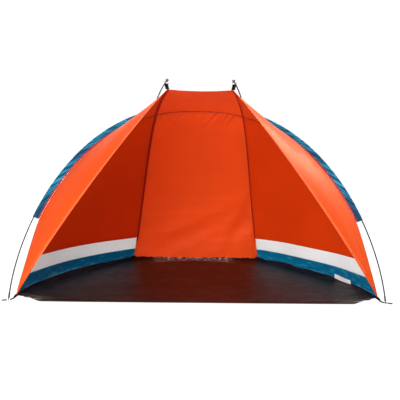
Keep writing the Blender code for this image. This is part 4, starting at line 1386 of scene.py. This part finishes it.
def add_care_label():
    """A satin ribbon with a slight curl, standing on its hinge line against the wall."""
    joint = next(j for j in frame["joints"] if j["child"] == "care_label")
    foot = np.array(joint["pos_m"])
    along = unit(np.array(joint["axis"]))
    low, high = (np.array(corner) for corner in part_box("care_label"))
    corners = np.array([v.co for v in frame["nodes"]["care_label"].data.vertices])
    upper = corners[corners[:, 2] > (low[2] + high[2]) / 2].mean(axis=0)
    lean = upper - foot
    lean -= along * (lean @ along)
    height = np.linalg.norm(lean)
    lean /= height
    face = np.cross(along, lean)
    half = np.abs((corners - foot) @ along).max()
    u, v = np.meshgrid(np.linspace(-1, 1, 60), np.linspace(0, 1, 16))
    curl = 0.0035 * np.sin((u + 0.2) * 2.6) * v + 0.002 * v * v
    rise = height * v * (1 - 0.04 * np.abs(u))
    points = foot + along * (half * u)[..., None] + lean * rise[..., None] + face * curl[..., None]
    uv, node = spread_uv(points), "care_label"
    piece = add_piece(f"{node}_ribbon", points, grid_faces(*u.shape), "label", uv, node)
    thicken(piece, RIBBON)
    dress(piece, node)


# Camera, lights and stage

CAMERA_X = -0.0667
CAMERA_DISTANCE = 4.1
CAMERA_HEIGHT = 1.1166
CAMERA_LENS = 68.9
CAMERA_PITCH, CAMERA_YAW, CAMERA_ROLL = 0.1339, 0.0173, 0.0134  # down, right and anticlockwise
STAGE_REACH = 40.0
STAGE_Z = -0.0005
STAGE_GREY = 0.06
FLOOR_GLOW = 0.97
HORIZON_STRENGTH = 1.02
DOME_STRENGTH = 0.30
# Each light's name, place, aim, size and power
LIGHTS = (
    ("key", (-2.0, -4.4, 2.2), (0.0, 0.0, 0.45), 3.0, 240),
    ("right_side", (2.6, 0.7, 2.6), (0.55, 0.1, 0.8), 0.9, 72),
    ("left_rear", (-2.0, 2.2, 0.8), (-0.6, 0.3, 0.15), 1.0, 60),
    ("above", (0.5, -0.6, 3.6), (0.1, 0.0, 0.9), 1.2, 90),
    ("behind", (0.2, 3.2, 3.0), (0.0, 0.2, 0.6), 1.8, 95),
)


def add_camera():
    """At eye height, a little left of the middle, in front of the foot line."""
    data = bpy.data.cameras.new("camera")
    data.lens = CAMERA_LENS
    data.sensor_width = 36
    camera = new_object("camera", data)
    place = Matrix.Translation((CAMERA_X, FOOT_LINE_Y - CAMERA_DISTANCE, CAMERA_HEIGHT))
    for angle, axis in ((-CAMERA_YAW, "Z"), (math.pi / 2 - CAMERA_PITCH, "X"), (CAMERA_ROLL, "Z")):
        place = place @ Matrix.Rotation(angle, 4, axis)
    camera.matrix_world = place
    bpy.context.scene.camera = camera


def add_light(name, place, aim, size, power):
    data = bpy.data.lights.new(name, "AREA")
    data.size = size
    data.energy = power
    light = new_object(name, data)
    light.visible_camera = False  # no view looks into a lamp
    light.location = place
    light.rotation_euler = (Vector(aim) - Vector(place)).to_track_quat("-Z", "Y").to_euler()


def add_stage():
    """A pale floor that runs out into a white horizon, under a dimmer dome and soft lights."""
    corners = [(x * STAGE_REACH, y * STAGE_REACH, STAGE_Z) for x, y in ((-1, -1), (1, -1), (1, 1), (-1, 1))]
    mesh = bpy.data.meshes.new("floor")
    mesh.from_pydata(corners, [], [(0, 1, 2, 3)])
    floor = new_object("floor", mesh)
    paint = Nodes("pale_floor")
    grey = shade(WHITE, STAGE_GREY)
    paint.surface(base_color=grey, roughness=0.9, emission_color=WHITE, emission_strength=FLOOR_GLOW)
    mesh.materials.append(paint.owner)
    sky = Nodes("world", bpy.data.worlds, "Background")
    height = sky.add("ShaderNodeSeparateXYZ", {0: sky.add("ShaderNodeTexCoord", {}, "Generated")}, 2)
    strengths = {"From Min": 0.16, "From Max": 0.5, "To Min": HORIZON_STRENGTH, "To Max": DOME_STRENGTH}
    fall = sky.add("ShaderNodeMapRange", {"Value": height, **strengths}, interpolation_type="SMOOTHSTEP")
    sky.surface(color=WHITE, strength=fall)
    bpy.context.scene.world = sky.owner
    for light in LIGHTS:
        add_light(*light)
    bpy.context.scene.view_settings.view_transform = "Standard"


def main():
    add_camera()
    add_stage()
    add_panels(all_panels())
    add_floor()
    add_sleeves()
    routes = add_poles()
    add_corners(routes)
    for side, word in SIDES:
        add_ear(side, word, routes[word])
    add_care_label()


main()
